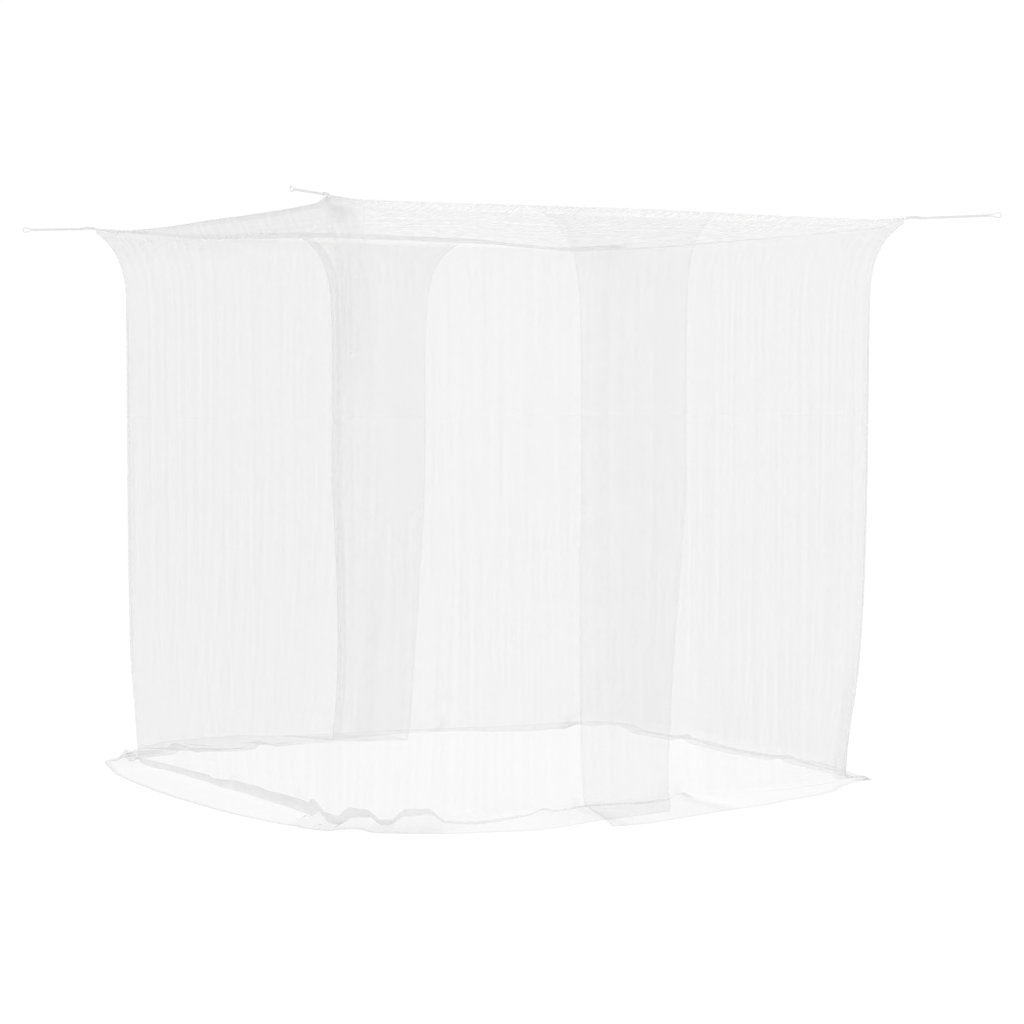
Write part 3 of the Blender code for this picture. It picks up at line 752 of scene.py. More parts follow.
def make_tab():
    bpy.ops.mesh.primitive_cube_add(size=1, location=(TAB_LENGTH / 2, 0, 0))
    obj = bpy.context.object
    edit_mode(True)
    bpy.ops.mesh.select_mode(type="FACE")
    bpy.ops.transform.resize(value=(TAB_LENGTH, TAB_WIDE, TAB_TALL))
    for share in (0.06, 0.2, 0.35, 0.5, 0.65, 0.8, 0.94):
        bpy.ops.mesh.select_all(action="SELECT")
        bpy.ops.mesh.bisect(plane_co=(TAB_LENGTH * share, 0, 0), plane_no=(1, 0, 0))
    edit_mode(False)
    bpy.ops.object.transform_apply(location=True, rotation=True, scale=True)
    select_faces(obj, lambda face: abs(face.normal.y) > 0.9)
    edit_mode(True)
    bpy.ops.mesh.inset(thickness=SEW_INSET, depth=-SEW_DEPTH, use_boundary=True)
    edit_mode(False)
    select_faces(obj, lambda face: face.normal.x > 0.9)
    edit_mode(True)
    bpy.ops.mesh.inset(thickness=MOUTH_INSET, depth=0.0)
    bpy.ops.transform.translate(value=(-MOUTH_PULL, 0, 0))
    edit_mode(False)
    apply_modifier(obj, "SUBSURF", levels=2, render_levels=2)
    for vertex in obj.data.vertices:
        share = min(max(vertex.co.x / TAB_LENGTH, 0), 1)
        taper = 1 - TAPER * share
        vertex.co.y *= taper * (1 + 0.03 * math.sin(9 * share))
        vertex.co.z = vertex.co.z * taper + TAB_ARCH * math.sin(math.pi * share)
    layer = obj.data.uv_layers[0]
    layer.name = "cloth"
    for loop in obj.data.loops:
        point = obj.data.vertices[loop.vertex_index].co
        arch = TAB_ARCH * math.sin(math.pi * min(max(point.x / TAB_LENGTH, 0), 1))
        layer.data[loop.index].uv = (point.x, point.z - arch)
    obj.data.shade_smooth()
    bpy.ops.object.select_all(action="DESELECT")
    return obj


pattern_tab = make_tab()
print("a tab:", [round(v * 1000, 1) for v in pattern_tab.dimensions], "mm")

# %% Sew a tab to each corner
for tie in TIES:
    seat, aim, across = tab_seat(tie)
    tab = pattern_tab.copy()
    tab.data = pattern_tab.data.copy()
    tab.name = "folded_tab_" + tie.name
    scene.collection.objects.link(tab)
    # its first 0.8 mm lies in the stitches of the binding, so nothing hangs in the air
    start = seat - aim * (GAP + 0.0005)
    facing = Matrix((aim, across, Vector((0, 0, 1)))).transposed().to_4x4()
    tab.data.transform(Matrix.Translation(start) @ facing)
    tab.data.materials.append(tab_tape)
    stand_for(tab, "tab_" + tie.name)
bpy.data.objects.remove(pattern_tab, do_unlink=True)

# %% [markdown]
# ## The curtains
#
# Two strips of net make the walls, and each runs round two corners. The tables say where the foot
# of the walls meets the floor, where the rim of the hem lies, and which folds stand up from it, as
# in the solids. A simulation of ten square metres of net would not fall the way this one does, so
# it is laid as given: one function gives the curtain's section at any place, and the mesh asks for
# it every centimetre and a half.

# %% Where the curtains hang, stand and lie
RIGHT_FEET = table(
    "x y roll",
    (-0.27, -0.935, 0.002), (-0.178, -0.935, 0.002), (0.025, -0.96, 0.002), (0.25, -0.925, 0.002),
    (0.6, -0.895, 0.004), (0.82, -0.85, 0.006), (0.95, -0.8, 0.006), (0.968, -0.6, 0.01),
    (0.99, -0.35, 0.014), (0.966, -0.05, 0.016), (1, 0.25, 0.016), (0.99, 0.6, 0.01),
    (1.085, 0.935, 0.006), (0.922, 0.885, 0.004), (0.759, 0.892, 0.003), (0.573, 0.93, 0.002),
    (0.456, 1, 0.002), (0.261, 1.04, 0.002), (-0.05, 1, 0.002), (-0.2, 0.99, 0.002),
)
LEFT_FEET = table(
    "x y roll",
    (0.2, 0.88, 0.002), (0.138, 0.885, 0.002), (0.031, 0.925, 0.002), (-0.124, 0.98, 0.002),
    (-0.271, 0.97, 0.004), (-0.437, 0.934, 0.008), (-0.555, 0.9, 0.008), (-0.689, 0.944, 0.014),
    (-0.819, 0.92, 0.018), (-0.92, 0.9, 0.022), (-0.996, 0.846, 0.026), (-0.972, 0.62, 0.028),
    (-0.965, 0.3, 0.03), (-0.97, 0, 0.033), (-0.975, -0.37, 0.038), (-0.99, -0.6, 0.042),
    (-1.02, -0.87, 0.032), (-0.9, -0.93, 0.02), (-0.753, -0.965, 0.012), (-0.639, -1.055, 0.008),
    (-0.5, -1.01, 0.004), (-0.343, -0.957, 0.002), (-0.254, -0.934, 0.002),
    (-0.141, -0.898, 0.002), (0.025, -0.943, 0.002), (0.16, -0.89, 0.002),
)
RIGHT_RIM = table(
    "x y",
    (-0.34, -1.32), (-0.22, -1.33), (-0.089, -1.3), (0.139, -1.237), (0.393, -1.19),
    (0.599, -1.12), (0.754, -1.05), (0.87, -0.95), (1.026, -0.876), (1.055, -0.76), (1.125, -0.4),
    (1.09, 0.05), (1.135, 0.33), (1.11, 0.7), (1.19, 0.98), (1.08, 1.09), (0.85, 1.1),
    (0.56, 1.11), (0.2, 1.22), (-0.24, 1.23),
)
LEFT_RIM = table(
    "x y",
    (0.15, 1.12), (-0.08, 1.18), (-0.25, 1.27), (-0.4, 1.36), (-0.7, 1.33), (-0.79, 1.275),
    (-0.883, 1.186), (-0.96, 1.08), (-1.1, 0.949), (-1.134, 0.786), (-1.19, 0.55), (-1.22, 0.25),
    (-1.235, -0.07), (-1.225, -0.455), (-1.185, -0.76), (-1.155, -0.97), (-1.094, -1.04),
    (-0.986, -1.124), (-0.847, -1.204), (-0.732, -1.235), (-0.6, -1.27), (-0.5, -1.258),
    (-0.329, -1.207), (-0.06, -1.16), (0.01, -1.14),
)

# folds that stand up from the floor and run up the wall: rise and run on the floor, and depth
# and reach on the wall
FOLDS = table(
    "at wide rise run depth reach",
    (0.035, 0.15, 0.034, 0.15, 0.012, 0.1),  # first hump of the front left corner
    (0.13, 0.18, 0.042, 0.13, 0.016, 0.08),  # round lump at the front left
    (0.33, 0.1, 0.014, 0.12, 0.008, 0.2),  # crease on the front wall's foot
    (0.115, 0.13, 0, 0.1, 0.01, 1.2),  # front left drape
    (0.572, 0.12, 0.02, 0.1, 0.01, 0.1),  # turned corner of the left curtain
    (0.8, 0.16, 0, 0.1, 0.008, 0.9),  # front right drape
    (0.985, 0.07, 0.012, 0.06, 0.026, 0.17),  # pleat at the front right corner
    (1.3, 0.15, 0.014, 0.08, 0.006, 0.3),  # first scallop on the right
    (1.68, 0.15, 0.016, 0.08, 0.006, 0.3),  # second scallop on the right
    (2.06, 0.13, 0.014, 0.12, 0.01, 0.3),  # back right fold
    (2.7, 0.13, 0.018, 0.22, 0.008, 0.3),  # first ridge at the back
    (2.85, 0.13, 0.02, 0.24, 0.01, 0.4),  # second ridge at the back
    (3.04, 0.11, 0.026, 0.1, 0.01, 0.25),  # back left corner fold
    (3.45, 0.18, 0, 0.1, 0.008, 1),  # left wall drape
    (3.92, 0.14, 0.028, 0.16, 0.012, 0.1),  # second hump of the front left corner
)
print(len(FOLDS), "main folds")

# %% The two curtains and their free edges
Curtain = namedtuple("Curtain", "name seam wall foot rim feet rims outer")
Place = namedtuple("Place", "at out roll")
OVERLAPS = table("start end", (0.3, 0.66), (2.3, 2.66))


def curtain_ends(side, seam_x, wall_x, foot_x):
    """A free edge's place at the roof, on the wall and at its foot."""
    ends = []
    for x, half in zip((seam_x, wall_x, foot_x), (ROOF_X / 2, WALL_X / 2, WALL_X / 2)):
        ends.append(side + ((half - x) if side == 2 else (half + x)) / (2 * half))
    return ends


def place_of(row, lap):
    """Where a point on the floor lies along the walls, and how far outside their line."""
    past_x, past_y = abs(row.x) - WALL_X / 2, abs(row.y) - WALL_Y / 2
    out = max(past_x, past_y)
    along = row.x / (WALL_X / 2 + out) if past_y > past_x else row.y / (WALL_Y / 2 + out)
    if past_y > past_x:
        at = 2.5 - along / 2 if row.y > 0 else 4 * lap + 0.5 + along / 2
    else:
        at = 1.5 + along / 2 if row.x > 0 else 3.5 - along / 2
    return Place(at, out, getattr(row, "roll", 0.0))


def curtain(name, corners, start, end, feet, rims, outer):
    """A front edge that comes after the other corners is counted as past 4."""
    lap = corners[-1] == 4
    feet, rims = [place_of(row, lap) for row in feet], [place_of(row, lap) for row in rims]
    knots = [[a, *corners, b] for a, b in zip(start, end)]
    return Curtain(name, *knots, [rims[0].at, *corners, rims[-1].at], feet, rims, outer)


RIGHT = curtain(
    "curtain_right", (1, 2),
    curtain_ends(0, seam_x=-0.357, wall_x=-0.159, foot_x=-0.178),
    curtain_ends(2, seam_x=-0.294, wall_x=-0.184, foot_x=-0.110),
    RIGHT_FEET, RIGHT_RIM, outer=True,
)
LEFT = curtain(
    "curtain_left", (3, 4),
    curtain_ends(2, seam_x=0.419, wall_x=0.214, foot_x=0.145),
    curtain_ends(4, seam_x=0.328, wall_x=0.255, foot_x=0.160),
    LEFT_FEET, LEFT_RIM, outer=False,
)
print("seams run from", round(LEFT.seam[0], 3), "to", round(LEFT.seam[-1], 3), "and from",
      round(RIGHT.seam[0], 3), "to", round(RIGHT.seam[-1], 3), "walls")

# %% [markdown]
# ### Soft drapes, corner pleats and creases
#
# The solids only carry the main folds. The net has more: broad, shallow drapes down the walls,
# small pleats where the spare width is drawn together at each corner, and short creases in the hem
# that point away from the walls. A very small seeded noise keeps the cloth between them from lying
# perfectly flat.

# %% The softer folds
FOOT_RADIUS = 0.025  # of the bend from the wall on to the floor
# depth is how far a drape stands out (or in, below 0), between two heights above the floor
DRAPES = table(
    "at wide depth low high",
    (0.045, 0.1, 0.006, 0, 1.8), (0.1, 0.09, -0.004, 0.05, 1.4), (0.175, 0.14, 0.005, 0, 1.75),
    (0.245, 0.12, -0.004, 0.1, 1.6), (0.385, 0.16, 0.004, 0, 1.3), (0.52, 0.2, -0.003, 0.2, 1.7),
    (0.64, 0.12, 0.004, 0, 1.2), (0.73, 0.14, -0.005, 0, 1.75), (0.88, 0.15, 0.005, 0, 1.6),
    (0.945, 0.08, -0.004, 0.1, 1.75), (1.06, 0.12, 0.005, 0, 1.75), (1.17, 0.18, -0.004, 0, 1.5),
    (1.42, 0.2, 0.004, 0.1, 1.7), (1.56, 0.16, -0.004, 0, 1.3), (1.8, 0.18, 0.005, 0, 1.6),
    (1.94, 0.1, -0.004, 0.05, 1.75), (2.11, 0.14, 0.005, 0, 1.75), (2.23, 0.16, -0.004, 0.1, 1.5),
    (2.4, 0.14, 0.003, 0, 1.6), (2.56, 0.18, -0.003, 0, 1.4), (2.78, 0.16, 0.005, 0, 1.7),
    (2.93, 0.12, -0.004, 0.05, 1.75), (3.11, 0.14, 0.006, 0, 1.75), (3.24, 0.18, -0.004, 0, 1.5),
    (3.37, 0.12, 0.004, 0.1, 1.3), (3.56, 0.18, -0.005, 0, 1.7), (3.7, 0.14, 0.005, 0, 1.5),
    (3.84, 0.12, -0.004, 0.05, 1.75),
)
# pleats at the corners, in metres along the wall from the corner
PLEATS = [table("off wide depth", *rows) for rows in (
    ((-0.03, 0.026, 0.007), (0.006, 0.022, 0.009), (0.034, 0.024, 0.006)),
    ((-0.038, 0.026, 0.008), (-0.008, 0.022, 0.006), (0.028, 0.024, 0.007)),
    ((-0.026, 0.024, 0.006), (0.012, 0.024, 0.008), (0.04, 0.024, 0.005)),
    ((-0.034, 0.024, 0.006), (-0.002, 0.024, 0.009), (0.036, 0.026, 0.006)),
)]
GATHER_WIDE = 0.050  # how far from a corner the net is gathered
PLEAT_LOW, PLEAT_HIGH = 0.10, 1.80


def metres_between(at, other):
    """How far along the walls two places are from each other, from -4 to 4 metres or so."""
    away = (at - other + 2) % 4 - 2
    return away * (WALL_Y if int(other % 4 + away / 2) % 2 else WALL_X)


def bump(away, wide):
    return ease(1 - abs(away) / (wide / 2))


def soft_out(at, height):
    """How far the wall stands out for its drapes and corner pleats."""
    out = 0.0
    for drape in DRAPES:
        away = metres_between(at, drape.at)
        if abs(away) < drape.wide / 2:
            stretch = ease((height - drape.low) / 0.25) if drape.low else 1.0
            stretch *= ease((drape.high - height) / 0.5)
            out += drape.depth * bump(away, drape.wide) * stretch
    corner = round(at) % 4
    away = metres_between(at, corner)
    if abs(away) < 0.1:
        held = ease((height - PLEAT_LOW) / 0.3) * ease((PLEAT_HIGH - height) / 0.25)
        for pleat in PLEATS[corner]:
            out += pleat.depth * bump(away - pleat.off, pleat.wide) * held
    return out


# places where the net is drawn together: between two heights, and by how much
BUNCHES = table(
    "at wide low high amount",
    (2.5, 0.1, -0.3, 0.8, 0.4), (0.982, 0.1, -0.5, 0.55, 1), (2.342, 0.06, -0.05, 0.07, 0.6),
    (2.079, 0.11, -0.03, 0.05, 0.6), (2.95, 0.12, -0.05, 0.08, 0.15),
    (0.575, 0.11, -0.1, 0.07, 0.5), (0.4, 0.07, -0.02, 0.04, 0.5), (0.02, 0.2, 1.2, 2.4, 0.95),
    # the rolled fold on the left is fuller here and there; behind and on the right it is slack
    (3.48, 0.14, 0.012, 0.07, 0.3), (3.8, 0.2, 0.012, 0.07, 0.25), (1.5, 2.4, 0.003, 0.05, -0.4),
    (2.8, 1.2, 0.003, 0.06, -0.35),
)
# how close the threads are along the walls
CLOSENESS = table(
    "at amount",
    (0, 0.08), (0.15, 0.02), (0.25, -0.02), (0.4, -0.02), (0.43, -0.18), (0.62, -0.18), (0.66, 0),
    (1, 0.02), (1.5, 0.03), (2, 0), (2.05, -0.08), (2.36, -0.08), (2.42, -0.12), (2.58, -0.12),
    (2.64, 0.08), (3, 0.1), (4, 0.08),
)
# the net under the roof's edge is drawn together more on the left, where it hangs slack
DRAWN = table(
    "at amount",
    (0, 1.5), (0.08, 0.3), (0.2, 0.05), (0.85, 0.05), (1, 0.4), (1.12, 0.15), (1.9, 0.05),
    (2, 0.3), (2.1, 0), (2.9, 0), (3, 0.4), (3.15, 0.9), (3.5, 1.4), (3.9, 1.5), (4, 1.5),
)
UNDER_TAPE = 0.6  # how much less is seen of the net inside the long edges' tape
# a single flat layer on the floor shows less than a hanging one, but not where it is crumpled
FLATNESS = table(
    "at amount",
    (0, 0.5), (0.03, 0.1), (0.06, 0.5), (0.15, 0.5), (0.19, -0.2), (0.3, -0.3), (0.41, 0),
    (0.56, 0), (0.6, -0.4), (0.95, -0.3), (1, 0.2), (1.1, -0.4), (2, -0.4), (2.9, -0.2), (3, -0.1),
    (3.15, -0.35), (3.85, -0.35), (4, 0.5),
)
# the outermost edge of the hem curls on the left and at the front left corner
RIM_CURL = table(
    "at amount",
    (0, 0.9), (0.05, 0.6), (0.3, 0.3), (0.42, 0), (2.95, 0), (3, 0.7), (3.1, 0.9), (4, 0.9),
)
CURL_WIDE = 0.009
CORNER_CLOSER, CORNER_LOW = 0.18, 0.30  # at the corners, above a height
DRAWN_DROP = 0.17  # how far below the roof's edge it is drawn together
TAPE_DROP = 0.032


# past SHADE_FROM this gather also darkens the net's colour, as painted shade
def gathered(at, height):
    """How much closer the threads lie: 0 on a plain wall, 1 where there are twice as many."""
    gather = CORNER_CLOSER * bump(metres_between(at, round(at) % 4), 2 * GATHER_WIDE)
    gather *= ease((height - CORNER_LOW) / 0.5)
    gather += between(CLOSENESS, at % 4, "amount")
    gather += between(DRAWN, at % 4, "amount") * ease(1 - (HANG_HEIGHT - height) / DRAWN_DROP)
    for b in BUNCHES:
        middle, half = (b.low + b.high) / 2, (b.high - b.low) / 2
        tall = ease(1.6 * (1 - abs(height - middle) / half))
        gather += b.amount * bump(metres_between(at, b.at), b.wide) * tall
    # the long edges' tape is sheer, and the net in it is drawn out flat
    if round(at % 4 - 0.5) % 2 == 0:
        gather -= UNDER_TAPE * ease((height - HANG_HEIGHT + TAPE_DROP) / 0.008)
    return gather + between(FLATNESS, at % 4, "amount") * ease(1 - height / FOOT_RADIUS)


# creases of the hem on the floor: from one distance out of the wall's foot to another
CREASES = table(
    "at wide rise start end",
    (0.012, 0.045, 0.011, 0, 0.2), (0.048, 0.05, 0.012, 0.08, 0.34), (0.085, 0.04, 0.01, 0, 0.16),
    (0.14, 0.06, 0.01, 0.12, 0.36), (0.19, 0.05, 0.006, 0, 0.2), (0.265, 0.07, 0.005, 0.04, 0.3),
    (0.345, 0.06, 0.005, 0, 0.22), (0.455, 0.08, 0.003, 0.05, 0.35), (0.76, 0.08, 0.002, 0, 0.18),
    (0.93, 0.05, 0.004, 0, 0.1), (1.09, 0.06, 0.003, 0, 0.1), (1.33, 0.09, 0.003, 0, 0.12),
    (1.64, 0.07, 0.003, 0, 0.11), (1.91, 0.06, 0.004, 0, 0.14), (2.04, 0.05, 0.006, 0, 0.2),
    (2.19, 0.08, 0.003, 0, 0.2), (2.43, 0.07, 0.004, 0.02, 0.26), (2.61, 0.06, 0.006, 0, 0.34),
    (2.76, 0.055, 0.008, 0.02, 0.38), (2.89, 0.06, 0.007, 0, 0.3), (2.97, 0.05, 0.007, 0, 0.2),
    (3.07, 0.06, 0.005, 0.02, 0.2), (3.21, 0.12, 0.002, 0.04, 0.2),
    (3.48, 0.14, 0.002, 0.05, 0.24), (3.74, 0.12, 0.003, 0.04, 0.22),
    (3.86, 0.06, 0.005, 0.03, 0.22), (3.93, 0.05, 0.009, 0.06, 0.26),
    (3.975, 0.04, 0.011, 0, 0.22),
)
RIPPLE = 0.0016  # of the flat hem


def floor_relief(at, out, past):
    """Height of the hem's creases and ripples, at a distance past the bend on to the floor."""
    height = 0.0
    for crease in CREASES:
        away = metres_between(at, crease.at)
        if abs(away) < crease.wide / 2 and crease.start < past < crease.end:
            share = (past - crease.start) / (crease.end - crease.start)
            height += crease.rise * bump(away, crease.wide) * math.sin(math.pi * share) ** 2
    spot = Vector((at % 4 * 22, out * 9, 1.7))
    ripple = 0.5 + 0.5 * noise.noise(spot) + 0.3 * noise.noise(spot * 2.3)
    return height + RIPPLE * max(ripple, 0) * ease(past / 0.05)


print(len(DRAPES), "drapes,", sum(map(len, PLEATS)), "pleats and", len(CREASES), "creases")

# %% [markdown]
# ### The section of a curtain
#
# From the top down, a curtain is held upright in the tape, flares in under the roof, hangs as a
# wall that leans at its foot, bends on to the floor, makes a rolled fold along the wall and lies
# flat out to its rim. The outer curtain is lifted off the inner one where they overlap.

# %% Rows of a curtain
NET = 0.0015  # height of the middle of the lowest layer above the floor, twice
SEAM_ALLOWANCE = 0.011  # the part of a wall that the binding holds upright
FLARE_DROP = 0.080  # how fast the flare under the roof dies out
LEAN_DROP = 0.33  # how fast the lean above the floor dies out
EDGE_LEAN_TOP = 1.00  # below this height the free edges slant
ROLL_WIDE = 0.045  # of the rolled fold that lies along the foot of a wall
SEAM_LAYER, LAYER = 0.0035, 0.0045  # between two overlapping layers, at the roof and below
LAYER_TAPER = 0.12  # in walls: how far past an overlap the outer layer settles back
SETTLE = 0.08  # how far past the inner hem the outer one comes down to the floor
HEM_CORNER = 0.9  # how much rounder a corner gets on the floor, for each metre further out
TUCK, TUCKED = 0.006, 0.6  # how far the net goes up inside the tape, which presses it flatter
FRONT_FOLD = 0.007  # of the low fold in front, between the left corner and the door
LEFT_FOLD, LEFT_UNEVEN = 0.004, 0.007  # what the fold on the left is thicker by, and unevenly


def fold_bump(fold, at):
    length = WALL_Y if int(fold.at) % 2 else WALL_X
    away = (at % 4 - fold.at + 2) % 4 - 2
    return ease((1.0 + 0.6 * (fold.rise > 0.03)) * (1 - abs(away) * length / (fold.wide / 2)))


def wall_out(c, at, height):
    """How far outside its line a wall hangs, from its lean at the foot and its folds."""
    up = max(height - FOOT_RADIUS, 0)
    out = between(c.feet, at, "out") * math.exp(-up / LEAN_DROP)
    top = 1 - math.exp(-(HANG_HEIGHT - height) / FLARE_DROP)
    out += top * sum(f.depth * fold_bump(f, at) * math.exp(-up / f.reach) for f in FOLDS)
    return out + top * soft_out(at, height)


def ridge(at, out):
    """Height of the main folds that lie on the floor, a distance out from the foot."""
    return sum(f.rise * fold_bump(f, at) * (1 - ease(out / f.run)) for f in FOLDS)


def lapped(at):
    """1 where the curtains overlap, falling to 0 past the ends of the overlap."""
    past = [max(o.start - at % 4, at % 4 - o.end, 0) for o in OVERLAPS]
    return 1 - ease(min(past) / LAYER_TAPER)


def flare_row(c, column, depth):
    """Place along the walls, distance out, height, layer and corner radius of a row."""
    seam = HANG_HEIGHT + roof_edge(column)[0].z - BINDING_TALL / 2 - GAP
    height = seam - depth
    kept = math.exp(-max(depth - SEAM_ALLOWANCE, 0) / FLARE_DROP)
    at = mix(through(c.seam, c.wall, column), column, kept)
    out_at_seam = (ROOF_X - WALL_X) / 2 - edge_bow(column)
    out = mix(wall_out(c, at, height), out_at_seam, kept)
    seam_layer = (SEAM_LAYER if c.outer else -SEAM_LAYER) / 2 * (TUCKED if depth < 0 else 1)
    layer = mix(LAYER if c.outer else 0, seam_layer, kept) * lapped(at)
    return at, out, height, layer, mix(WALL_CORNER, ROOF_CORNER, kept)


def wall_row(c, column, height):
    slant = min(height / EDGE_LEAN_TOP, 1)
    at = mix(through(c.seam, c.foot, column), through(c.seam, c.wall, column), slant)
    layer = LAYER * lapped(at) if c.outer else 0
    return at, wall_out(c, at, height), height, layer, WALL_CORNER


def front_fold(at):
    """The low fold along the foot of the front wall."""
    at = (at + 2) % 4 - 2
    return FRONT_FOLD * ease((at - 0.16) / 0.10) * ease((0.62 - at) / 0.06)


def uneven_roll(at):
    """The rolled fold on the left is thicker in some places than in others."""
    left = ease((at % 4 - 3.2) / 0.3) * ease((3.97 - at % 4) / 0.1)
    return left * (LEFT_UNEVEN * noise.noise(Vector((at % 4 * 11, 0.3, 4.4))) + LEFT_FOLD)


def floor_row(c, column, part, share):
    """A row of the bend on to the floor, of the rolled fold or of the flat hem."""
    foot_at, rim_at = through(c.seam, c.foot, column), through(c.seam, c.rim, column)
    foot, rim = wall_out(c, foot_at, FOOT_RADIUS), between(c.rims, rim_at, "out")
    start, height = foot + FOOT_RADIUS, 0.0
    if part == "bend":
        turn = share * math.pi / 2
        out = foot + FOOT_RADIUS * (1 - math.cos(turn))
        height = FOOT_RADIUS * (1 - math.sin(turn))
    elif part == "roll":
        out = start + ROLL_WIDE * share
        roll = between(c.feet, foot_at, "roll") + front_fold(foot_at) + uneven_roll(foot_at)
        height = roll * math.sin(math.pi * share) ** 2
    else:
        out = mix(start + ROLL_WIDE, rim, share)
    at = mix(foot_at, rim_at, (out - foot) / (rim - foot))
    height += ridge(at, max(out - start, 0)) * (share if part == "bend" else 1)
    height += floor_relief(at, out, max(out - start, 0)) * ease((rim - out) / 0.05)
    layer = 0.0
    if c.outer and lapped(at) > 0:
        inner = between(LEFT.rims, at + 4 if at < 1 else at, "out")
        layer = LAYER * lapped(at) * (1 - ease((out - inner) / SETTLE))
    return at, out, NET / 2 + height, layer, WALL_CORNER + HEM_CORNER * max(out, 0)


def spread(low, high, count, power=1.0):
    """count numbers from low to just before high, closer together at the start."""
    return [mix(low, high, (k / count) ** power) for k in range(count)]


WALL_TOP = 1.50
FLARE_ROWS = [-TUCK, 0.0, SEAM_ALLOWANCE / 2] + spread(SEAM_ALLOWANCE, 0.36, 22, 1.6)
WALL_ROWS = spread(WALL_TOP, 0.30, 26) + spread(0.30, 0.05, 12) + [0.035]
FLOOR_ROWS = [("bend", s) for s in spread(0, 1, 7)] + [("roll", s) for s in spread(0, 1, 10)]
FLOOR_ROWS += [("flat", s) for s in spread(0, 1, 17) + [0.975, 0.995, 1.0]]


def section(c, column):
    """All rows of one column of a curtain, as points, and how gathered the net is in each."""
    rows = [flare_row(c, column, depth) for depth in FLARE_ROWS]
    rows += [wall_row(c, column, height) for height in WALL_ROWS]
    rows += [floor_row(c, column, part, share) for part, share in FLOOR_ROWS]
    points, gathers = [], []
    for i, (at, out, height, layer, radius) in enumerate(rows):
        before, after = rows[max(i - 1, 0)], rows[min(i + 1, len(rows) - 1)]
        gathers.append(gathered(at, height))
        # the outer side of the section: out of the wall, and up on the floor
        run, fall = after[1] - before[1], before[2] - after[2]
        size = math.hypot(run, fall)
        out += layer * fall / size
        height += layer * run / size
        point = ring(at, WALL_X / 2 + out, WALL_Y / 2 + out, radius)[0]
        points.append(Vector((point.x, point.y, height - HANG_HEIGHT)))
    edge, normal = roof_edge(column)
    for k in (0, 1):
        top = edge + normal * rows[k][3]
        points[k] = Vector((top.x, top.y, rows[k][2] - HANG_HEIGHT))
    return points, gathers


print(len(FLARE_ROWS), "+", len(WALL_ROWS), "+", len(FLOOR_ROWS), "rows from the seam to the rim")

# %% [markdown]
# ### Making the sheets
#
# The sections are joined into a grid, with UVs in metres along the cloth, so that the mesh of the
# net keeps its size. Each point also keeps how far it is from the nearest side hem and from the
# bottom rim, and how gathered the net is. Solidify makes the hems twice as thick.

# %% The curtains' meshes
SHEET, HEM_SHEET = 0.0009, 0.0018  # thickness of the net and of its hems
COLUMN_STEP = 0.0155
MARKS = 400  # steps in which a curtain's seam is measured
FAR = 0.5  # farther from an edge than any hem is wide
BAND_WIDE, BAND_CLOSER = 0.048, 0.70  # the wide hem of the free edge at the back


def add_sheet(name, node, columns, across, down, from_side, from_rim, gathers):
    """A grid of points as a thin sheet. across and down are its sizes along the cloth."""
    rows = len(columns[0])
    points = [point for column in columns for point in column]
    faces, uvs = grid(len(columns), rows, lambda i, j: (across[i], down[i][j]), rows - 1)
    obj = add_piece(name, points, faces, uvs, [
        ("from_side", from_side), ("from_rim", from_rim), ("gather", gathers)])
    hem = obj.vertex_groups.new(name="hem")
    turned = [k for k in range(len(points)) if from_side[k] < SIDE_HEM or from_rim[k] < RIM_HEM]
    hem.add(turned, 1.0, "REPLACE")
    apply_modifier(obj, "SOLIDIFY", thickness=HEM_SHEET, offset=0, use_even_offset=False,
                   vertex_group="hem", thickness_vertex_group=SHEET / HEM_SHEET)
    obj.data.shade_smooth()
    obj.data.materials.append(white_net)
    # the net holds back so little light that it throws no shadow
    obj.visible_shadow = obj.visible_diffuse = obj.visible_glossy = False
    stand_for(obj, node)
    return obj


def seam_metres(a, b):
    """Length of the roof's edge between two places."""
    steps = max(2, round(abs(b - a) * 200))
    return runs([roof_edge(mix(a, b, k / steps))[0] for k in range(steps + 1)])[-1]


def make_curtain(c):
    width = seam_metres(c.seam[0], c.seam[-1])
    hem = [0.0, 0.5 * SIDE_HEM, SIDE_HEM - 0.0005, SIDE_HEM + 0.0005]
    inside = round((width - 4 * SIDE_HEM) / COLUMN_STEP)
    plain = [mix(2 * SIDE_HEM, width - 2 * SIDE_HEM, k / inside) for k in range(inside + 1)]
    across = hem + plain + [width - m for m in reversed(hem)]
    marks = [c.seam[0] + (c.seam[-1] - c.seam[0]) * k / MARKS for k in range(MARKS + 1)]
    lengths = runs([roof_edge(mark)[0] for mark in marks])
    lengths = [value * width / lengths[-1] for value in lengths]
    columns, down, from_side, from_rim, gathers = [], [], [], [], []
    for place in across:
        column = through(lengths, marks, min(place, width - 1e-9))
        points, gather = section(c, column)
        run = runs(points)
        columns.append(points)
        down.append(run)
        from_side += [min(place, width - place)] * len(points)
        from_rim += [run[-1] - value for value in run]
        # the outer curtain's free edge at the back is turned in once more, in a wide band
        turned_in = BAND_CLOSER * ease((place - width + BAND_WIDE) / 0.004) if c.outer else 0
        curl = between(RIM_CURL, column % 4, "amount")
        for g, value in zip(gather, run):
            gathers.append(g + turned_in + curl * ease((value + CURL_WIDE - run[-1]) / 0.002))
    obj = add_sheet("net_" + c.name, c.name, columns, across, down, from_side, from_rim, gathers)


make_curtain(LEFT)
make_curtain(RIGHT)

# %% [markdown]
# ## The roof
#
# The roof is one rectangle of net, pulled tight by its corners, that sags a little in the middle.
# A Coons patch fills it from its four edges: two ruled surfaces are added and the flat one they
# share is taken away. A few shallow rays run in from each corner.

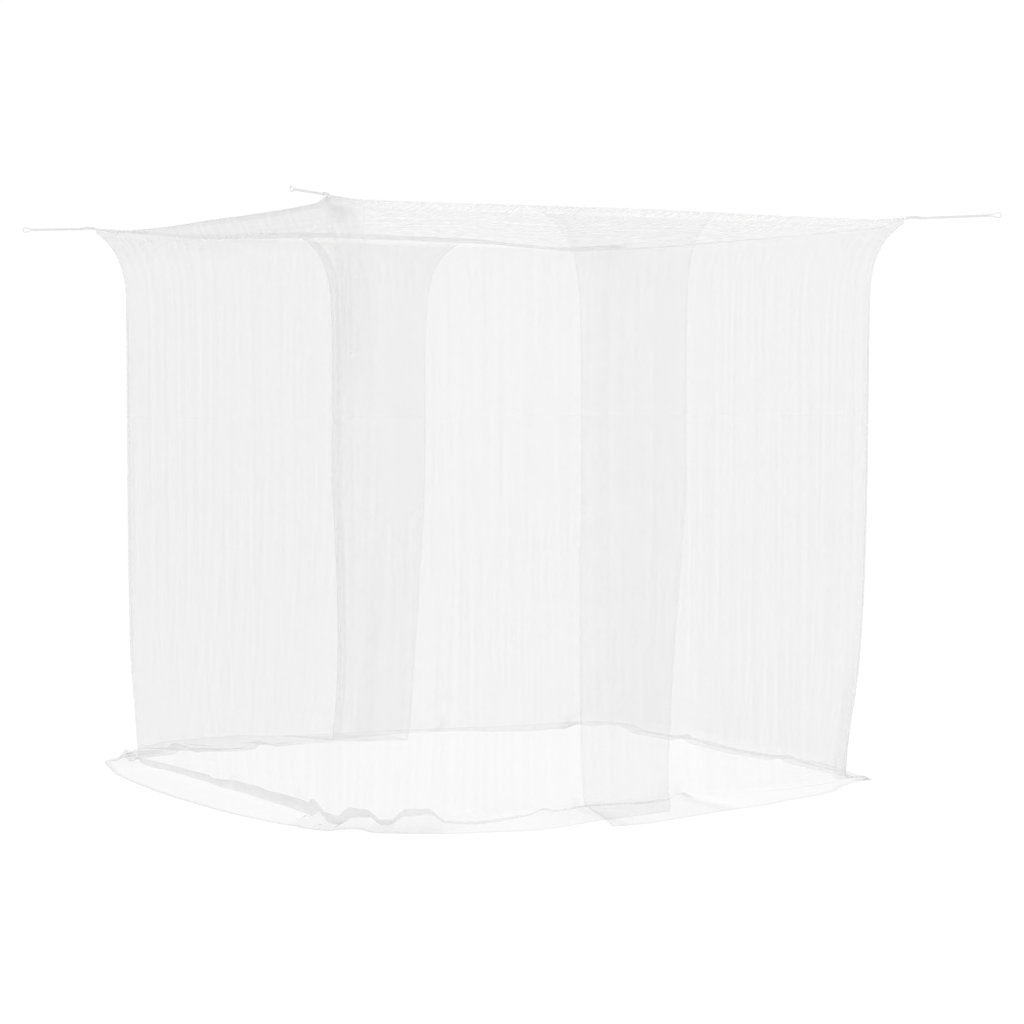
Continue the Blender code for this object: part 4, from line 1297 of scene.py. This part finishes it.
# %% The roof's mesh
ROOF_SAG = 0.020
ROOF_CELLS = 96  # along each side
RAY = 0.0003  # height of the shallow rays
ROOF_CLOSER = 0.80  # how much closer the threads of the roof's net lie than the walls'
ROOF_LOOSE = 0.02  # from its edge, where they lie as in the walls


def roof_point(across, back):
    """A point of the roof panel, blended from its four edges and sagging in the middle."""
    inset = BINDING_WIDE / 2 - TAPE / 2

    def edge(at):
        point, normal = roof_edge(at)
        return point - normal * inset

    front, rear = edge(across), edge(3 - across)
    left, right = edge((4 - back) % 4), edge(1 + back)
    corners = [edge(k) for k in range(4)]
    blend = front * (1 - back) + rear * back + left * (1 - across) + right * across
    blend -= (corners[0] * (1 - across) + corners[1] * across) * (1 - back)
    blend -= (corners[3] * (1 - across) + corners[2] * across) * back
    sag = ROOF_SAG * 16 * across * (1 - across) * back * (1 - back)
    return blend - Vector((0, 0, sag + roof_rays(across, back)))


def roof_rays(across, back):
    """Shallow folds that run from each corner towards the middle."""
    x, y = min(across, 1 - across) * ROOF_X, min(back, 1 - back) * ROOF_Y
    far = math.hypot(x, y)
    if far < 1e-6:
        return 0.0
    turn = math.atan2(y, x)
    edge = ease(min(x, y) / 0.05)
    return RAY * math.sin(turn * 14 + far * 1.5) * edge * ease(far / 0.08) * math.exp(-far / 0.35)


def make_roof():
    shares = [0.5 - 0.5 * math.cos(math.pi * k / ROOF_CELLS) for k in range(ROOF_CELLS + 1)]
    # half even, half closer together towards the edges
    shares = [(share + k / ROOF_CELLS) / 2 for k, share in enumerate(shares)]
    columns = [[roof_point(a, b) for b in shares] for a in shares]
    across = [a * ROOF_X for a in shares]
    down = [[b * ROOF_Y for b in shares]] * len(columns)
    gathers = []
    for a in shares:
        for b in shares:
            edge = min(a * ROOF_X, (1 - a) * ROOF_X, b * ROOF_Y, (1 - b) * ROOF_Y)
            gathers.append(ROOF_CLOSER * (1 - ease(1 - edge / ROOF_LOOSE)))
    far = [FAR] * len(shares) ** 2
    obj = add_sheet("net_roof", "roof_panel", columns, across, down, far, far, gathers)
    return obj


roof = make_roof()
print("the roof hangs from", round(max(v.co.z for v in roof.data.vertices), 3), "to",
      round(min(v.co.z for v in roof.data.vertices), 3), "m")

# %% [markdown]
# ## The studio
#
# The canopy stands on a plain white floor that gives off a little light of its own, as a lit
# backdrop does, so that it stays white under the net. The surround is soft and white, with a
# little more light from the front and the back, which keeps the two side walls greyer.

# %% Floor
FLOOR_SIZE = 300
bpy.ops.mesh.primitive_plane_add(size=FLOOR_SIZE, location=(0, 0, -HANG_HEIGHT - 0.0002))
floor = bpy.context.object
floor.name = "studio_floor"
floor_white, _, shader = start_material("floor_white", sheen=0.0)
for key, value in (("Base Color", (0.03, 0.03, 0.03, 1)), ("Roughness", 0.9),
                   ("Emission Color", (1, 1, 1, 1)), ("Emission Strength", 1.0),
                   ("Specular IOR Level", 0.0)):
    shader.inputs[key].default_value = value
floor.data.materials.append(floor_white)
bpy.ops.object.select_all(action="DESELECT")

# %% Light
BACKDROP, SURROUND = 1.02, 0.61  # strength as the camera sees it, and as light


def make_world():
    """White where the camera looks straight at it, and softer as a source of light."""
    world = bpy.data.worlds.new("studio")
    world.use_nodes = True
    w = Wiring(world.node_tree)
    background = world.node_tree.nodes["Background"]
    seen = w.node("ShaderNodeLightPath").outputs["Is Camera Ray"]
    strength = w.ramp(seen, 0.0, 1.0, SURROUND, BACKDROP, smooth=False)
    w.link(strength, background.inputs["Strength"])
    background.inputs["Color"].default_value = (1, 1, 1, 1)
    scene.world = world


def soft_box(name, place, size, power):
    """A large square lamp that looks at the middle of the canopy."""
    data = bpy.data.lights.new(name, "AREA")
    data.shape, data.size, data.energy = "SQUARE", size, power
    lamp = bpy.data.objects.new(name, data)
    scene.collection.objects.link(lamp)
    lamp.location = place
    middle = Vector((0, 0, -HANG_HEIGHT / 2))
    lamp.rotation_euler = (middle - lamp.location).to_track_quat("-Z", "Y").to_euler()
    lamp.visible_camera = False
    return lamp


make_world()
lamps = [
    soft_box("overhead lamp", Vector((0, 0, 4.0)), 6.0, 30),
    soft_box("front lamp", Vector((-1.5, -7.0, 1.5)), 4.0, 45),
    soft_box("back lamp", Vector((1.5, 7.0, 1.5)), 4.0, 35),
]
scene.view_settings.view_transform = "Standard"
# a look through the canopy crosses up to eight layers, each with two faces
scene.cycles.transparent_max_bounces = 64
scene.cycles.max_bounces = 1  # white on white: the surround stands for the further ones
print(len(lamps), "lamps and a white surround")
